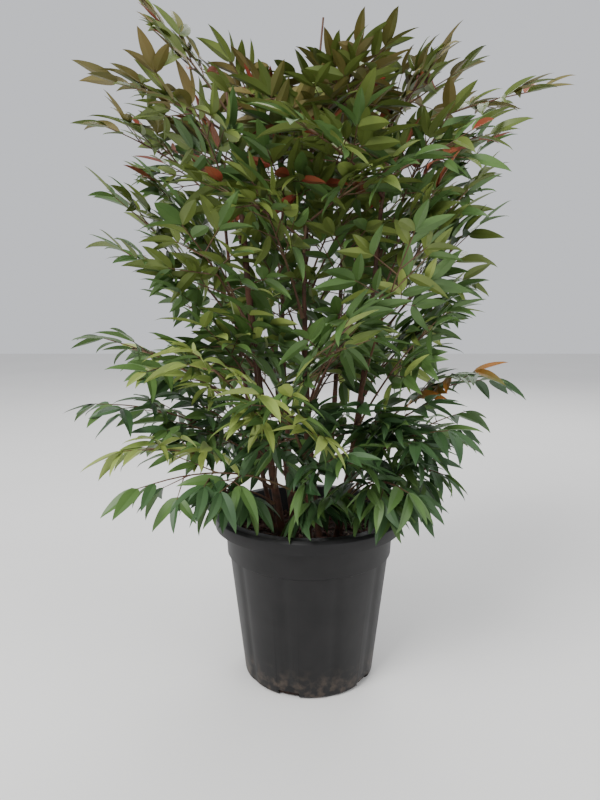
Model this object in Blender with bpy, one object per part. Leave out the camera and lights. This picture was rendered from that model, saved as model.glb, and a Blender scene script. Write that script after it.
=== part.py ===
"""A heavenly bamboo in its nursery pot: nine upright canes, feathery compound leaves, the pot and its soil.

Sizes are in metres and +Z is up. The origin is the middle of the pot's flat underside, and -Y is the front.
Every cane, frond and crown top is worked out from the named sizes below, with seeded random draws.
"""

import math
import random
from collections import namedtuple

import bmesh
import bpy
from mathutils import Vector
from mathutils.bvhtree import BVHTree

UP = Vector((0.0, 0.0, 1.0))
CLEARANCE = 0.0003

# The pot
POT_HEIGHT = 0.222
RIM_RADIUS = 0.125
RIM_BAND = 0.017
BASE_RADIUS = 0.0875
BASE_ROUNDING = 0.004
BODY_TOP_RADIUS = 0.1065
COLLAR_RADIUS = 0.1125
COLLAR_STEP = 0.0030
COLLAR_BOTTOM = 0.168
COLLAR_SLOPE = 0.001
LIP_ROUND = 0.0035
LIP_INNER_ROUND = 0.002
WALL = 0.0025
FLOOR = 0.003
POT_SEGMENTS = 40
FLUTE_DEPTH = 0.0012
FLUTE_SEGMENTS = 4
NOTCH_COUNT = 5
NOTCH_WIDTH = 0.028
NOTCH_HEIGHT = 0.0085
NOTCH_DEPTH = 0.013
NOTCH_OVERCUT = 0.010
NOTCH_UNDERCUT = 0.002
NOTCH_AZIMUTH = math.radians(-108.0)

# The soil
SOIL_TOP = 0.187
SOIL_FALL = 0.0025
SOIL_FLAT_RADIUS = 0.080

# The canes
Cane = namedtuple("Cane", "foot_x foot_y tip_x tip_y top radius")
CANES = {
    "cane_front_left": Cane(-0.034, -0.018, -0.083, -0.070, 0.660, 0.0054),
    "cane_left": Cane(-0.046, 0.012, -0.112, 0.045, 0.600, 0.0034),
    "cane_middle": Cane(-0.018, 0.020, -0.034, 0.032, 0.640, 0.0036),
    "cane_centre": Cane(0.013, -0.006, -0.002, -0.004, 0.650, 0.0040),
    "cane_right": Cane(0.040, 0.004, 0.096, 0.020, 0.670, 0.0042),
    "cane_front_right": Cane(0.034, -0.030, 0.078, -0.098, 0.600, 0.0036),
    "cane_back_left": Cane(-0.022, 0.044, -0.066, 0.122, 0.640, 0.0040),
    "cane_back_right": Cane(0.024, 0.040, 0.052, 0.112, 0.660, 0.0040),
    "cane_front": Cane(0.000, -0.040, -0.008, -0.112, 0.550, 0.0034),
}
CANE_SIDES = 8
CANE_RINGS = 8
CANE_TAPER = 0.58
CANE_FLARE = 0.55
CANE_FLARE_HEIGHT = 0.012
CANE_BOW = 0.010
NEARBY = 0.01
UPRIGHT_DRIFT = 0.004

# The twigs
TWIG_SIDES = 3
RACHIS_RADIUS = 0.0017
RACHIS_END_RADIUS = 0.0012
RACHIS_RINGS = 4
PINNA_RADIUS = 0.0012
PINNA_END_RADIUS = 0.0010
LEADER_SIDES = 4
LEADER_MIDDLE = 0.8
LEADER_END = 0.6
PINNA_JOINT = 0.46
PINNA_STAGGER = 0.015
PINNA_SPREAD = (44.0, 60.0)
PINNA_DROOP = 0.4
PINNA_REACH = 0.30
PINNA_REACH_RANGE = (0.8, 1.15)
INNER_LEAF_CHANCE = 0.3
FROND_ROLL = 0.35
STALK_BEND = 0.45

# Where leaves sit: on a side twig, the share back from its end and the turn outwards; on a stalk, the share and turn
PINNA_LEAVES = ((0.04, 0.0), (0.45, 0.95), (0.30, -0.95))
STALK_LEAVES = ((0.70, 0.9), (0.74, -0.9), (0.96, 0.85), (0.93, -0.85), (0.99, 0.0))

# The leaves
LEAF_LENGTH = 0.074
LEAF_LENGTH_RANGE = (0.84, 1.12)
LEAF_SLENDERNESS = 0.36
LEAF_THICKNESS = 0.0014
LEAF_WIDEST = 0.40
LEAF_THICKEST = 0.18
LEAF_FOLD = 0.08
LEAF_DROP = 0.05
LEAF_SINK = 0.0005
LEAF_CLEAR = 0.0006
BLADE_START = 0.16
DROOP_WANDER = 0.15
TILT_SIDEWAYS = 0.9
TILT_FORWARD = 0.5

# The crown, by the ends of its frond stalks
CROWN_RADIUS = 0.225
CROWN_DEPTH_SHARE = 0.90
CROWN_MIDDLE = 0.50
CROWN_HALF_HEIGHT = 0.36
CROWN_NARROWING = 0.5
LOW = 0.25
HIGH = 0.80
DROOP_LOW = 0.72
DROOP_HIGH = -0.22
DROOP_CURVE = 0.6

# Fronds that give the outline: the cane each leaves, how high, the end of its stalk, its arch and how full it is
Frond = namedtuple("Frond", "cane height x y z arch fullness")
SIDE_FRONDS = {
    "frond_left_1": Frond("cane_left", 0.470, -0.224, -0.020, 0.612, 0.10, 0.9),
    "frond_left_2": Frond("cane_front_left", 0.420, -0.198, -0.090, 0.545, 0.12, 1.0),
    "frond_left_3": Frond("cane_front_left", 0.340, -0.218, -0.095, 0.450, 0.16, 1.0),
    "frond_left_4": Frond("cane_left", 0.280, -0.245, -0.050, 0.372, 0.20, 0.9),
    "frond_left_5": Frond("cane_front_left", 0.262, -0.194, -0.120, 0.330, 0.18, 1.0),
    "frond_left_6": Frond("cane_front", 0.255, -0.170, -0.160, 0.302, 0.22, 1.0),
    "frond_right_1": Frond("cane_right", 0.540, 0.222, 0.055, 0.692, 0.10, 0.9),
    "frond_right_2": Frond("cane_front_right", 0.470, 0.182, -0.060, 0.625, 0.10, 1.0),
    "frond_right_3": Frond("cane_right", 0.430, 0.200, 0.000, 0.580, 0.12, 0.9),
    "frond_right_4": Frond("cane_front_right", 0.350, 0.142, -0.090, 0.472, 0.14, 1.0),
    "frond_right_5": Frond("cane_right", 0.300, 0.222, 0.010, 0.395, 0.24, 0.7),
    "frond_right_6": Frond("cane_front_right", 0.275, 0.140, -0.115, 0.350, 0.22, 1.0),
    "frond_right_7": Frond("cane_right", 0.245, 0.150, -0.055, 0.290, 0.30, 1.0),
    "frond_front_1": Frond("cane_front_left", 0.330, -0.112, -0.190, 0.440, 0.12, 1.0),
    "frond_front_2": Frond("cane_front", 0.370, 0.030, -0.200, 0.470, 0.12, 1.0),
    "frond_front_3": Frond("cane_front", 0.310, -0.045, -0.200, 0.400, 0.14, 1.0),
    "frond_front_4": Frond("cane_front", 0.262, 0.030, -0.155, 0.330, 0.20, 1.0),
    "frond_front_5": Frond("cane_front_right", 0.245, 0.098, -0.130, 0.290, 0.30, 1.0),
    "frond_front_6": Frond("cane_front_left", 0.450, -0.120, -0.180, 0.560, 0.10, 1.0),
    "frond_front_7": Frond("cane_front_right", 0.400, 0.095, -0.185, 0.550, 0.10, 1.0),
}

# Fronds of the crown tops: the cane whose leader they leave, how far above its end, then the same values
TOP_FRONDS = {
    "top_front_left_1": Frond("cane_front_left", 0.045, -0.158, -0.075, 0.790, 0.05, 1.0),
    "top_front_left_2": Frond("cane_front_left", 0.020, -0.188, -0.110, 0.722, 0.10, 0.9),
    "top_left_1": Frond("cane_left", 0.040, -0.234, 0.010, 0.706, 0.08, 0.7),
    "top_left_2": Frond("cane_left", 0.020, -0.196, 0.122, 0.690, 0.10, 0.9),
    "top_middle_1": Frond("cane_middle", 0.040, -0.086, 0.000, 0.770, 0.05, 0.9),
    "top_middle_2": Frond("cane_middle", 0.020, -0.050, 0.100, 0.725, 0.06, 1.0),
    "top_right_1": Frond("cane_right", 0.050, 0.140, -0.010, 0.770, 0.05, 1.0),
    "top_right_2": Frond("cane_right", 0.030, 0.268, 0.010, 0.755, 0.08, 0.5),
    "top_back_right_1": Frond("cane_back_right", 0.050, 0.188, 0.080, 0.796, 0.05, 0.7),
    "top_back_right_2": Frond("cane_back_right", 0.030, 0.072, 0.165, 0.770, 0.06, 1.0),
    "top_centre_1": Frond("cane_centre", 0.060, 0.072, -0.040, 0.775, 0.05, 0.9),
}

# The stem that carries each cane on into its crown top: its rise, its drift to the right, and its fronds
Leader = namedtuple("Leader", "rise drift fronds")
LEADERS = {
    "cane_front_left": Leader(0.070, -0.012, 3),
    "cane_left": Leader(0.050, -0.010, 3),
    "cane_middle": Leader(0.060, -0.004, 2),
    "cane_centre": Leader(0.186, 0.018, 2),
    "cane_right": Leader(0.070, 0.010, 3),
    "cane_front_right": Leader(0.050, 0.008, 3),
    "cane_back_left": Leader(0.060, -0.008, 3),
    "cane_back_right": Leader(0.065, 0.006, 3),
    "cane_front": Leader(0.045, 0.004, 2),
}

# Fronds dealt out by rule: tiers, fronds a tier, the lowest, the rise of a tier, azimuths and the share of the reach
Ring = namedtuple("Ring", "tiers fronds lowest rise first_azimuth sweep reach")
RINGS = {
    "back": Ring(4, 3, 0.255, 0.088, math.radians(22.0), math.radians(136.0), 1.0),
    "inner": Ring(4, 2, 0.300, 0.075, math.radians(205.0), math.radians(130.0), 0.66),
}
STALK_RISE = 0.115
STALK_RISE_RANGE = (0.6, 1.15)
RING_ARCH = 0.14
AZIMUTH_WANDER = 0.1
JOINT_WANDER = 0.012
REACH_WANDER = 0.015
CANE_LEAN_SHARE = 0.4
CANE_OVER_JOINT = 0.02

# Crown-top fronds that aren't named, dealt out by the golden angle
GOLDEN_ANGLE = math.radians(137.5)
TOP_FROND_WANDER = 0.3
TOP_FROND_REACH = 0.110
TOP_FROND_REACH_RANGE = (0.85, 1.1)
TOP_FROND_RISE = 0.045
TOP_FROND_RISE_RANGE = (0.8, 1.2)
TOP_FROND_LOWEST = 0.012
TOP_FROND_STEP = 0.018
TOP_FROND_ARCH = 0.10

Tube = namedtuple("Tube", "points radii sides")
Leaf = namedtuple("Leaf", "root direction normal length")
Piece = namedtuple("Piece", "owner verts faces tree centre size")


def clear_scene():
    """Removes every object that is in the scene."""
    for old in list(bpy.data.objects):
        bpy.data.objects.remove(old, do_unlink=True)


def make_material(name, colour, roughness):
    """A plain Principled material."""
    material = bpy.data.materials.new(name)
    material.use_nodes = True
    shader = material.node_tree.nodes["Principled BSDF"]
    shader.inputs["Base Color"].default_value = (*colour, 1.0)
    shader.inputs["Roughness"].default_value = roughness
    material.diffuse_color = (*colour, 1.0)
    return material


def add_object(name, verts, faces, material):
    """An object at the origin whose mesh holds these points and faces."""
    mesh = bpy.data.meshes.new(name)
    mesh.from_pydata([tuple(v) for v in verts], [], faces)
    mesh.materials.append(material)
    mesh.update()
    made = bpy.data.objects.new(name, mesh)
    bpy.context.scene.collection.objects.link(made)
    return made


def lerp(low, high, share):
    """The value this share of the way from low to high."""
    return low + (high - low) * share


def turned_profile(profile, segments, radius_at):
    """Points and faces of a closed outline turned round Z, whose first and last points lie on the axis."""
    verts = [Vector((0.0, 0.0, profile[0][1]))]
    for index, (radius, height) in enumerate(profile[1:-1], start=1):
        for step in range(segments):
            angle = math.tau * step / segments
            turned = radius_at(index, step, radius)
            verts.append(Vector((turned * math.cos(angle), turned * math.sin(angle), height)))
    verts.append(Vector((0.0, 0.0, profile[-1][1])))
    faces = []
    rings = len(profile) - 2
    for step in range(segments):
        following = (step + 1) % segments
        faces.append((0, 1 + following, 1 + step))
        for ring in range(rings - 1):
            here = 1 + ring * segments
            above = here + segments
            faces.append((here + step, here + following, above + following, above + step))
        last = 1 + (rings - 1) * segments
        faces.append((last + step, last + following, len(verts) - 1))
    return verts, faces


def pot_profile():
    """The pot's section from the middle of its underside, up the outside, over the lip and down the inside."""
    lip_under = POT_HEIGHT - WALL
    inner_collar = COLLAR_RADIUS - WALL
    inner_body = BODY_TOP_RADIUS - WALL
    return [
        (0.0, 0.0),
        (BASE_RADIUS - BASE_ROUNDING, 0.0),
        (BASE_RADIUS, BASE_ROUNDING),
        (BODY_TOP_RADIUS, COLLAR_BOTTOM - COLLAR_SLOPE),
        (BODY_TOP_RADIUS + COLLAR_STEP, COLLAR_BOTTOM + COLLAR_SLOPE),
        (COLLAR_RADIUS, lip_under),
        (RIM_RADIUS - WALL, lip_under - COLLAR_SLOPE),
        (RIM_RADIUS - WALL, POT_HEIGHT - RIM_BAND),
        (RIM_RADIUS, POT_HEIGHT - RIM_BAND),
        (RIM_RADIUS, POT_HEIGHT - LIP_ROUND),
        (RIM_RADIUS - LIP_ROUND, POT_HEIGHT),
        (inner_collar + LIP_INNER_ROUND / 2, POT_HEIGHT),
        (inner_collar, POT_HEIGHT - LIP_INNER_ROUND),
        (inner_body + COLLAR_STEP, COLLAR_BOTTOM + COLLAR_SLOPE),
        (inner_body, COLLAR_BOTTOM - COLLAR_SLOPE),
        (BASE_RADIUS - WALL, FLOOR),
        (0.0, FLOOR),
    ]


def fluted_radius(index, step, radius):
    """The body's shallow upright flutes, between its rounded foot and its collar, on the outside only."""
    fluted = index in (2, 3) and step % FLUTE_SEGMENTS == 0
    return radius - FLUTE_DEPTH if fluted else radius


def box_faces():
    """The six faces of a box whose corners count up by x, then y, then z."""
    return [(0, 2, 3, 1), (4, 5, 7, 6), (0, 1, 5, 4), (2, 6, 7, 3), (0, 4, 6, 2), (1, 3, 7, 5)]


def notch_cutter(name, azimuth, material):
    """A box that cuts one drain notch through the pot's lower corner."""
    outward = Vector((math.cos(azimuth), math.sin(azimuth), 0.0))
    sideways = UP.cross(outward)
    near = BASE_RADIUS - NOTCH_DEPTH
    far = BASE_RADIUS + NOTCH_OVERCUT
    verts = []
    for height in (-NOTCH_UNDERCUT, NOTCH_HEIGHT):
        for side in (-NOTCH_WIDTH / 2, NOTCH_WIDTH / 2):
            for reach in (near, far):
                verts.append(outward * reach + sideways * side + UP * height)
    cutter = add_object(name, verts, box_faces(), material)
    cutter.hide_render = True
    cutter.display_type = "WIRE"
    return cutter


def build_pot(material):
    """The pot, with its lip, collar, flutes and drain notches."""
    verts, faces = turned_profile(pot_profile(), POT_SEGMENTS, fluted_radius)
    pot = add_object("pot", verts, faces, material)
    for number in range(NOTCH_COUNT):
        azimuth = NOTCH_AZIMUTH + math.tau * number / NOTCH_COUNT
        cutter = notch_cutter(f"notch_cutter_{number + 1}", azimuth, material)
        cut = pot.modifiers.new(f"notch_{number + 1}", "BOOLEAN")
        cut.operation = "DIFFERENCE"
        cut.solver = "EXACT"
        cut.object = cutter
    return make_piece("pot", (verts, faces))


def inner_radius(height):
    """The radius of the pot's inner wall at a height above its floor."""
    if height < COLLAR_BOTTOM:
        share = (height - FLOOR) / (COLLAR_BOTTOM - COLLAR_SLOPE - FLOOR)
        return lerp(BASE_RADIUS, BODY_TOP_RADIUS, share) - WALL
    share = (height - COLLAR_BOTTOM) / (POT_HEIGHT - COLLAR_BOTTOM)
    return lerp(BODY_TOP_RADIUS + COLLAR_STEP, COLLAR_RADIUS, share) - WALL


def build_soil(material):
    """The soil that fills the pot, flat where the canes stand and a little lower at the wall."""
    edge = SOIL_TOP - SOIL_FALL
    gap = 2 * CLEARANCE
    bottom = FLOOR + CLEARANCE
    below = COLLAR_BOTTOM - 2 * COLLAR_SLOPE
    above = COLLAR_BOTTOM + 2 * COLLAR_SLOPE
    profile = [
        (0.0, bottom),
        (inner_radius(bottom) - gap, bottom),
        (inner_radius(below) - gap, below),
        (inner_radius(below) - gap, above),
        (inner_radius(edge) - gap, edge),
        (SOIL_FLAT_RADIUS, SOIL_TOP),
        (0.0, SOIL_TOP),
    ]
    verts, faces = turned_profile(profile, POT_SEGMENTS, lambda index, step, radius: radius)
    add_object("soil", verts, faces, material)
    return make_piece("soil", (verts, faces))


def cane_point(cane, height):
    """The middle of a cane at a height, leaning and bowing a little outwards."""
    share = (height - SOIL_TOP) / (cane.top - SOIL_TOP)
    foot = Vector((cane.foot_x, cane.foot_y, 0.0))
    tip = Vector((cane.tip_x, cane.tip_y, 0.0))
    bow = (tip - foot).normalized() * CANE_BOW * math.sin(math.pi * share)
    middle = foot.lerp(tip, share) + bow
    return Vector((middle.x, middle.y, height))


def cane_radius(cane, height):
    """A cane's radius at a height, with its taper and the flare of its foot."""
    share = (height - SOIL_TOP) / (cane.top - SOIL_TOP)
    flare = CANE_FLARE * max(0.0, 1.0 - (height - SOIL_TOP) / CANE_FLARE_HEIGHT)
    return cane.radius * (lerp(1.0, CANE_TAPER, share) + flare)


def cane_tube(cane):
    """The rings of a cane, from its flat foot on the soil to its top."""
    foot = SOIL_TOP + CLEARANCE
    heights = [foot, foot + CANE_FLARE_HEIGHT]
    rise = (cane.top - heights[-1]) / (CANE_RINGS - 2)
    heights += [heights[1] + rise * step for step in range(1, CANE_RINGS - 1)]
    points = [cane_point(cane, height) for height in heights]
    radii = [cane_radius(cane, height) for height in heights]
    return Tube(points, radii, CANE_SIDES)


def ring_frames(points, first_side):
    """For each point of a path, its direction and a side vector carried along without twist."""
    frames = []
    side = first_side
    for index, _point in enumerate(points):
        before = points[max(index - 1, 0)]
        after = points[min(index + 1, len(points) - 1)]
        forward = (after - before).normalized()
        side = (side - forward * side.dot(forward)).normalized()
        frames.append((forward, side))
    return frames


def tube_mesh(tube, extra=0.0, cut=None):
    """Points and faces of a tapered tube. A cut is a point and a normal of the plane its first ring lies in."""
    upright = abs(tube.points[1].x - tube.points[0].x) < UPRIGHT_DRIFT
    first = Vector((1.0, 0.0, 0.0)) if upright else UP
    verts = []
    for (forward, side), point, radius in zip(ring_frames(tube.points, first), tube.points, tube.radii):
        across = forward.cross(side)
        for step in range(tube.sides):
            angle = math.tau * step / tube.sides
            reach = (side * math.cos(angle) + across * math.sin(angle)) * (radius + extra)
            corner = point + reach
            if cut is not None and len(verts) < tube.sides:
                corner += forward * ((cut[0] - corner).dot(cut[1]) / forward.dot(cut[1]))
            verts.append(corner)
    faces = [tuple(reversed(range(tube.sides)))]
    for ring in range(len(tube.points) - 1):
        for step in range(tube.sides):
            here = ring * tube.sides + step
            beside = ring * tube.sides + (step + 1) % tube.sides
            faces.append((here, beside, beside + tube.sides, here + tube.sides))
    last = (len(tube.points) - 1) * tube.sides
    faces.append(tuple(range(last, last + tube.sides)))
    return verts, faces


def leaf_mesh(leaf, extra=0.0, start=0.0):
    """Points and faces of a leaf: a root, two raised edges, a rib above and below near the root, and a bent tip."""
    forward = leaf.direction
    side = leaf.normal.cross(forward).normalized()
    up = forward.cross(side)
    width = leaf.length * LEAF_SLENDERNESS
    rib = LEAF_THICKNESS / 2 + extra
    begin = start * leaf.length

    def place(along, across, lift):
        return leaf.root + forward * along + side * across + up * lift

    verts = [
        place(begin - extra, 0.0, 0.0),
        place(LEAF_WIDEST * leaf.length, width / 2 + extra, LEAF_FOLD * width),
        place(LEAF_WIDEST * leaf.length, -width / 2 - extra, LEAF_FOLD * width),
        place(begin + LEAF_THICKEST * (leaf.length - begin), 0.0, rib),
        place(begin + LEAF_THICKEST * (leaf.length - begin), 0.0, -rib),
        place(leaf.length + extra, 0.0, -LEAF_DROP * leaf.length),
    ]
    root, left, right, upper, under, tip = range(6)
    faces = [
        (root, upper, left),
        (root, right, upper),
        (upper, tip, left),
        (upper, right, tip),
        (root, left, under),
        (root, under, right),
        (under, left, tip),
        (under, tip, right),
    ]
    return verts, faces


def make_piece(owner, shape):
    """A shape with its search tree, for testing what touches it."""
    verts, faces = shape
    centre = sum(verts, Vector()) / len(verts)
    size = max((v - centre).length for v in verts)
    return Piece(owner, verts, faces, BVHTree.FromPolygons(verts, faces), centre, size)


def touches(piece, others):
    """Whether a piece meets any of the others."""
    for other in others:
        if (other.centre - piece.centre).length < other.size + piece.size:
            if piece.tree.overlap(other.tree):
                return True
    return False


def stalk_point(start, bend, end, share):
    """A point on the curve from start to end that leans towards bend."""
    rest = 1.0 - share
    return start * rest * rest + bend * 2.0 * rest * share + end * share * share


def stalk_direction(start, bend, end, share):
    """The direction of that curve."""
    return ((bend - start) * (1.0 - share) + (end - bend) * share).normalized()


def stalk_curve(start, frond):
    """The start, bend and end of a frond's stalk, which climbs steeply and then arches out."""
    end = Vector((frond.x, frond.y, frond.z))
    bend = start.lerp(end, STALK_BEND) + UP * frond.arch * (end - start).length
    return start, bend, end


def stalk_tube(curve):
    """The rings of a frond's stalk."""
    shares = [step / (RACHIS_RINGS - 1) for step in range(RACHIS_RINGS)]
    points = [stalk_point(*curve, share) for share in shares]
    radii = [lerp(RACHIS_RADIUS, RACHIS_END_RADIUS, share) for share in shares]
    return Tube(points, radii, TWIG_SIDES)


def frond_axes(curve, share, roll):
    """A frond's direction, its side and its upper face at a share of its stalk."""
    forward = stalk_direction(*curve, share)
    level = Vector((curve[2].x - curve[0].x, curve[2].y - curve[0].y, 0.0))
    side = UP.cross(level).normalized()
    side = (side * math.cos(roll) + forward.cross(side) * math.sin(roll)).normalized()
    side = (side - forward * side.dot(forward)).normalized()
    return forward, side, forward.cross(side)


def droop_at(height):
    """How far leaves hang at a height: the low ones droop and the top ones stand."""
    share = min(max((height - LOW) / (HIGH - LOW), 0.0), 1.0)
    return lerp(DROOP_LOW, DROOP_HIGH, share**DROOP_CURVE)


def make_leaf(site, forward, side, face, spread, draws):
    """A leaf at a site of a twig, spread to one side of it by an angle, turned and drooped a little."""
    direction = forward * math.cos(spread) + side * math.sin(spread)
    direction -= UP * (droop_at(site.z) + draws.uniform(-DROOP_WANDER, DROOP_WANDER))
    direction.normalize()
    tilt = side * draws.uniform(-TILT_SIDEWAYS, TILT_SIDEWAYS)
    tilt += forward * draws.uniform(-TILT_FORWARD, TILT_FORWARD)
    normal = face + tilt
    normal = (normal - direction * normal.dot(direction)).normalized()
    length = LEAF_LENGTH * draws.uniform(*LEAF_LENGTH_RANGE)
    return Leaf(site - direction * LEAF_SINK, direction, normal, length)


def grow_frond(curve, fullness, draws):
    """The two side twigs of a frond, each with its leaves, and the leaves on its own stalk."""
    roll = draws.uniform(-FROND_ROLL, FROND_ROLL)
    length = (curve[2] - curve[0]).length
    twigs = []
    for hand in (-1, 1):
        share = PINNA_JOINT + hand * PINNA_STAGGER
        forward, side, face = frond_axes(curve, share, roll)
        spread = math.radians(draws.uniform(*PINNA_SPREAD))
        direction = forward * math.cos(spread) + side * hand * math.sin(spread)
        direction -= UP * droop_at(curve[2].z) * PINNA_DROOP
        direction.normalize()
        site = stalk_point(*curve, share)
        end = site + direction * length * PINNA_REACH * draws.uniform(*PINNA_REACH_RANGE)
        across = face.cross(direction).normalized()
        upper = direction.cross(across)
        leaves = []
        for back, turn in PINNA_LEAVES:
            leaf = make_leaf(end.lerp(site, back), direction, across, upper, turn * hand, draws)
            if draws.random() < fullness * (1.0 if turn >= 0.0 else INNER_LEAF_CHANCE):
                leaves.append(leaf)
        twigs.append((Tube([site, end], [PINNA_RADIUS, PINNA_END_RADIUS], TWIG_SIDES), leaves))
    ending = []
    for share, turn in STALK_LEAVES:
        forward, side, face = frond_axes(curve, share, roll)
        ending.append(make_leaf(stalk_point(*curve, share), forward, side, face, turn, draws))
    return twigs, ending


def crown_reach(azimuth, height):
    """How far from the middle the frond stalks reach, by direction and height."""
    share = (height - CROWN_MIDDLE) / CROWN_HALF_HEIGHT
    radius = CROWN_RADIUS * (1.0 - CROWN_NARROWING * share**4)
    return Vector((radius * math.cos(azimuth), radius * CROWN_DEPTH_SHARE * math.sin(azimuth), height))


def nearest_cane(point, height):
    """The name of the cane that stands nearest below a point."""
    flat = Vector((point.x, point.y, 0.0)) * CANE_LEAN_SHARE
    reaching = [name for name, cane in CANES.items() if cane.top > height + CANE_OVER_JOINT]
    return min(reaching, key=lambda name: (cane_point(CANES[name], height) * Vector((1, 1, 0)) - flat).length)


def ring_fronds(ring_name, ring):
    """Fronds dealt out by rule over one side of the crown, in tiers that alternate."""
    draws = random.Random(ring_name)
    made = {}
    for tier in range(ring.tiers):
        for place in range(ring.fronds):
            share = (place + 0.5 * (tier % 2)) / (ring.fronds - 0.5)
            azimuth = ring.first_azimuth + ring.sweep * share
            azimuth += draws.uniform(-AZIMUTH_WANDER, AZIMUTH_WANDER)
            leaves_at = ring.lowest + ring.rise * tier + draws.uniform(-JOINT_WANDER, JOINT_WANDER)
            rise = lerp(*STALK_RISE_RANGE, tier / (ring.tiers - 1)) * STALK_RISE
            end = crown_reach(azimuth, leaves_at + rise + draws.uniform(-REACH_WANDER, REACH_WANDER))
            end *= Vector((ring.reach, ring.reach, 1.0))
            cane = nearest_cane(end, leaves_at)
            name = f"frond_{ring_name}_{tier * ring.fronds + place + 1}"
            made[name] = Frond(cane, leaves_at, end.x, end.y, end.z, RING_ARCH, 1.0)
    return made


def top_fronds(cane_name):
    """The fronds of one crown top: the named ones, and others by the golden angle up to the usual count."""
    cane = CANES[cane_name]
    named = [frond for frond in TOP_FRONDS.values() if frond.cane == cane_name]
    fronds = list(named)
    base = cane_point(cane, cane.top)
    outward = math.atan2(base.y, base.x)
    draws = random.Random(cane_name)
    for number in range(len(named), LEADERS[cane_name].fronds):
        azimuth = outward + GOLDEN_ANGLE * (number - 0.5)
        azimuth += draws.uniform(-TOP_FROND_WANDER, TOP_FROND_WANDER)
        reach = TOP_FROND_REACH * draws.uniform(*TOP_FROND_REACH_RANGE)
        rise = TOP_FROND_RISE * draws.uniform(*TOP_FROND_RISE_RANGE)
        leaves_at = TOP_FROND_LOWEST + TOP_FROND_STEP * number
        end = base + Vector((reach * math.cos(azimuth), reach * math.sin(azimuth), leaves_at + rise))
        fronds.append(Frond(cane_name, leaves_at, end.x, end.y, end.z, TOP_FROND_ARCH, 1.0))
    return fronds


def leader_tube(cane_name):
    """The stem of a crown top, which carries its cane on."""
    cane = CANES[cane_name]
    leader = LEADERS[cane_name]
    base = cane_point(cane, cane.top + CLEARANCE)
    end = base + Vector((leader.drift, 0.0, leader.rise))
    radius = cane_radius(cane, cane.top)
    radii = [radius, radius * LEADER_MIDDLE, radius * LEADER_END]
    return Tube([base, base.lerp(end, 0.5), end], radii, LEADER_SIDES)


def side_start(frond):
    """Where a side frond leaves its cane: a point just clear of the cane's side, and the way out from it."""
    cane = CANES[frond.cane]
    middle = cane_point(cane, frond.height)
    lean = (cane_point(cane, frond.height + NEARBY) - cane_point(cane, frond.height - NEARBY)).normalized()
    outward = Vector((frond.x - middle.x, frond.y - middle.y, 0.0))
    outward = (outward - lean * outward.dot(lean)).normalized()
    return middle + outward * (cane_radius(cane, frond.height - NEARBY) + CLEARANCE), outward


def plan_masses():
    """Each mass by name: its stem's shape, and the curve, fullness and draws of each of its fronds."""
    masses = {}
    side_fronds = dict(SIDE_FRONDS)
    for ring_name, ring in RINGS.items():
        side_fronds.update(ring_fronds(ring_name, ring))
    for name, frond in side_fronds.items():
        surface, outward = side_start(frond)
        curve = stalk_curve(surface, frond)
        stem = tube_mesh(stalk_tube(curve), cut=(surface, outward))
        masses[name] = (stem, [(curve, frond.fullness, random.Random(name))])
    for cane_name in CANES:
        leader = leader_tube(cane_name)
        base = leader.points[0]
        stem = tube_mesh(leader, cut=(base, UP))
        lean = (leader.points[-1] - base).normalized()
        fronds = []
        for number, frond in enumerate(top_fronds(cane_name)):
            curve = stalk_curve(base + lean * frond.height, frond)
            fronds.append((curve, frond.fullness, random.Random(f"{cane_name}{number}")))
        masses[cane_name.replace("cane", "top")] = (stem, fronds)
    return masses


def place_twigs(name, fronds, placed):
    """The stalks and side twigs of one mass that touch nothing of another mass, with the leaves each would bear."""
    own = []
    bearing = []
    strangers = [piece for piece in placed if piece.owner != name]
    for curve, fullness, draws in fronds:
        twigs, ending = grow_frond(curve, fullness, draws)
        if name.startswith("top"):
            own.append(make_piece(name, tube_mesh(stalk_tube(curve))))
        bearing.append(ending)
        for twig, leaves in twigs:
            wide = make_piece(name, tube_mesh(twig, extra=LEAF_CLEAR))
            if leaves and not touches(wide, strangers):
                own.append(make_piece(name, tube_mesh(twig)))
                bearing.append(leaves)
    return own, bearing


def place_leaves(name, bearing, placed):
    """The leaves of one mass whose blades are clear of everything, and whose necks are clear of other masses."""
    own = []
    strangers = [piece for piece in placed if piece.owner != name]
    for leaf in (leaf for group in bearing for leaf in group):
        whole = make_piece(name, leaf_mesh(leaf, extra=LEAF_CLEAR))
        blade = make_piece(name, leaf_mesh(leaf, extra=LEAF_CLEAR / 2, start=BLADE_START))
        family = [piece for piece in placed + own if piece.owner == name]
        if not touches(whole, strangers) and not touches(blade, family):
            own.append(make_piece(name, leaf_mesh(leaf)))
    return own


def largest_body(mesh):
    """Keeps a mesh's largest joined body, and drops loose scraps."""
    work = bmesh.new()
    work.from_mesh(mesh)
    bmesh.ops.triangulate(work, faces=work.faces)
    left = set(work.verts)
    bodies = []
    while left:
        body = {left.pop()}
        edge = set(body)
        while edge:
            edge = {link.other_vert(vert) for vert in edge for link in vert.link_edges} - body
            body |= edge
        left -= body
        bodies.append(body)
    keep = max(bodies, key=len)
    bmesh.ops.delete(work, geom=[vert for vert in work.verts if vert not in keep], context="VERTS")
    work.to_mesh(mesh)
    work.free()


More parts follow.
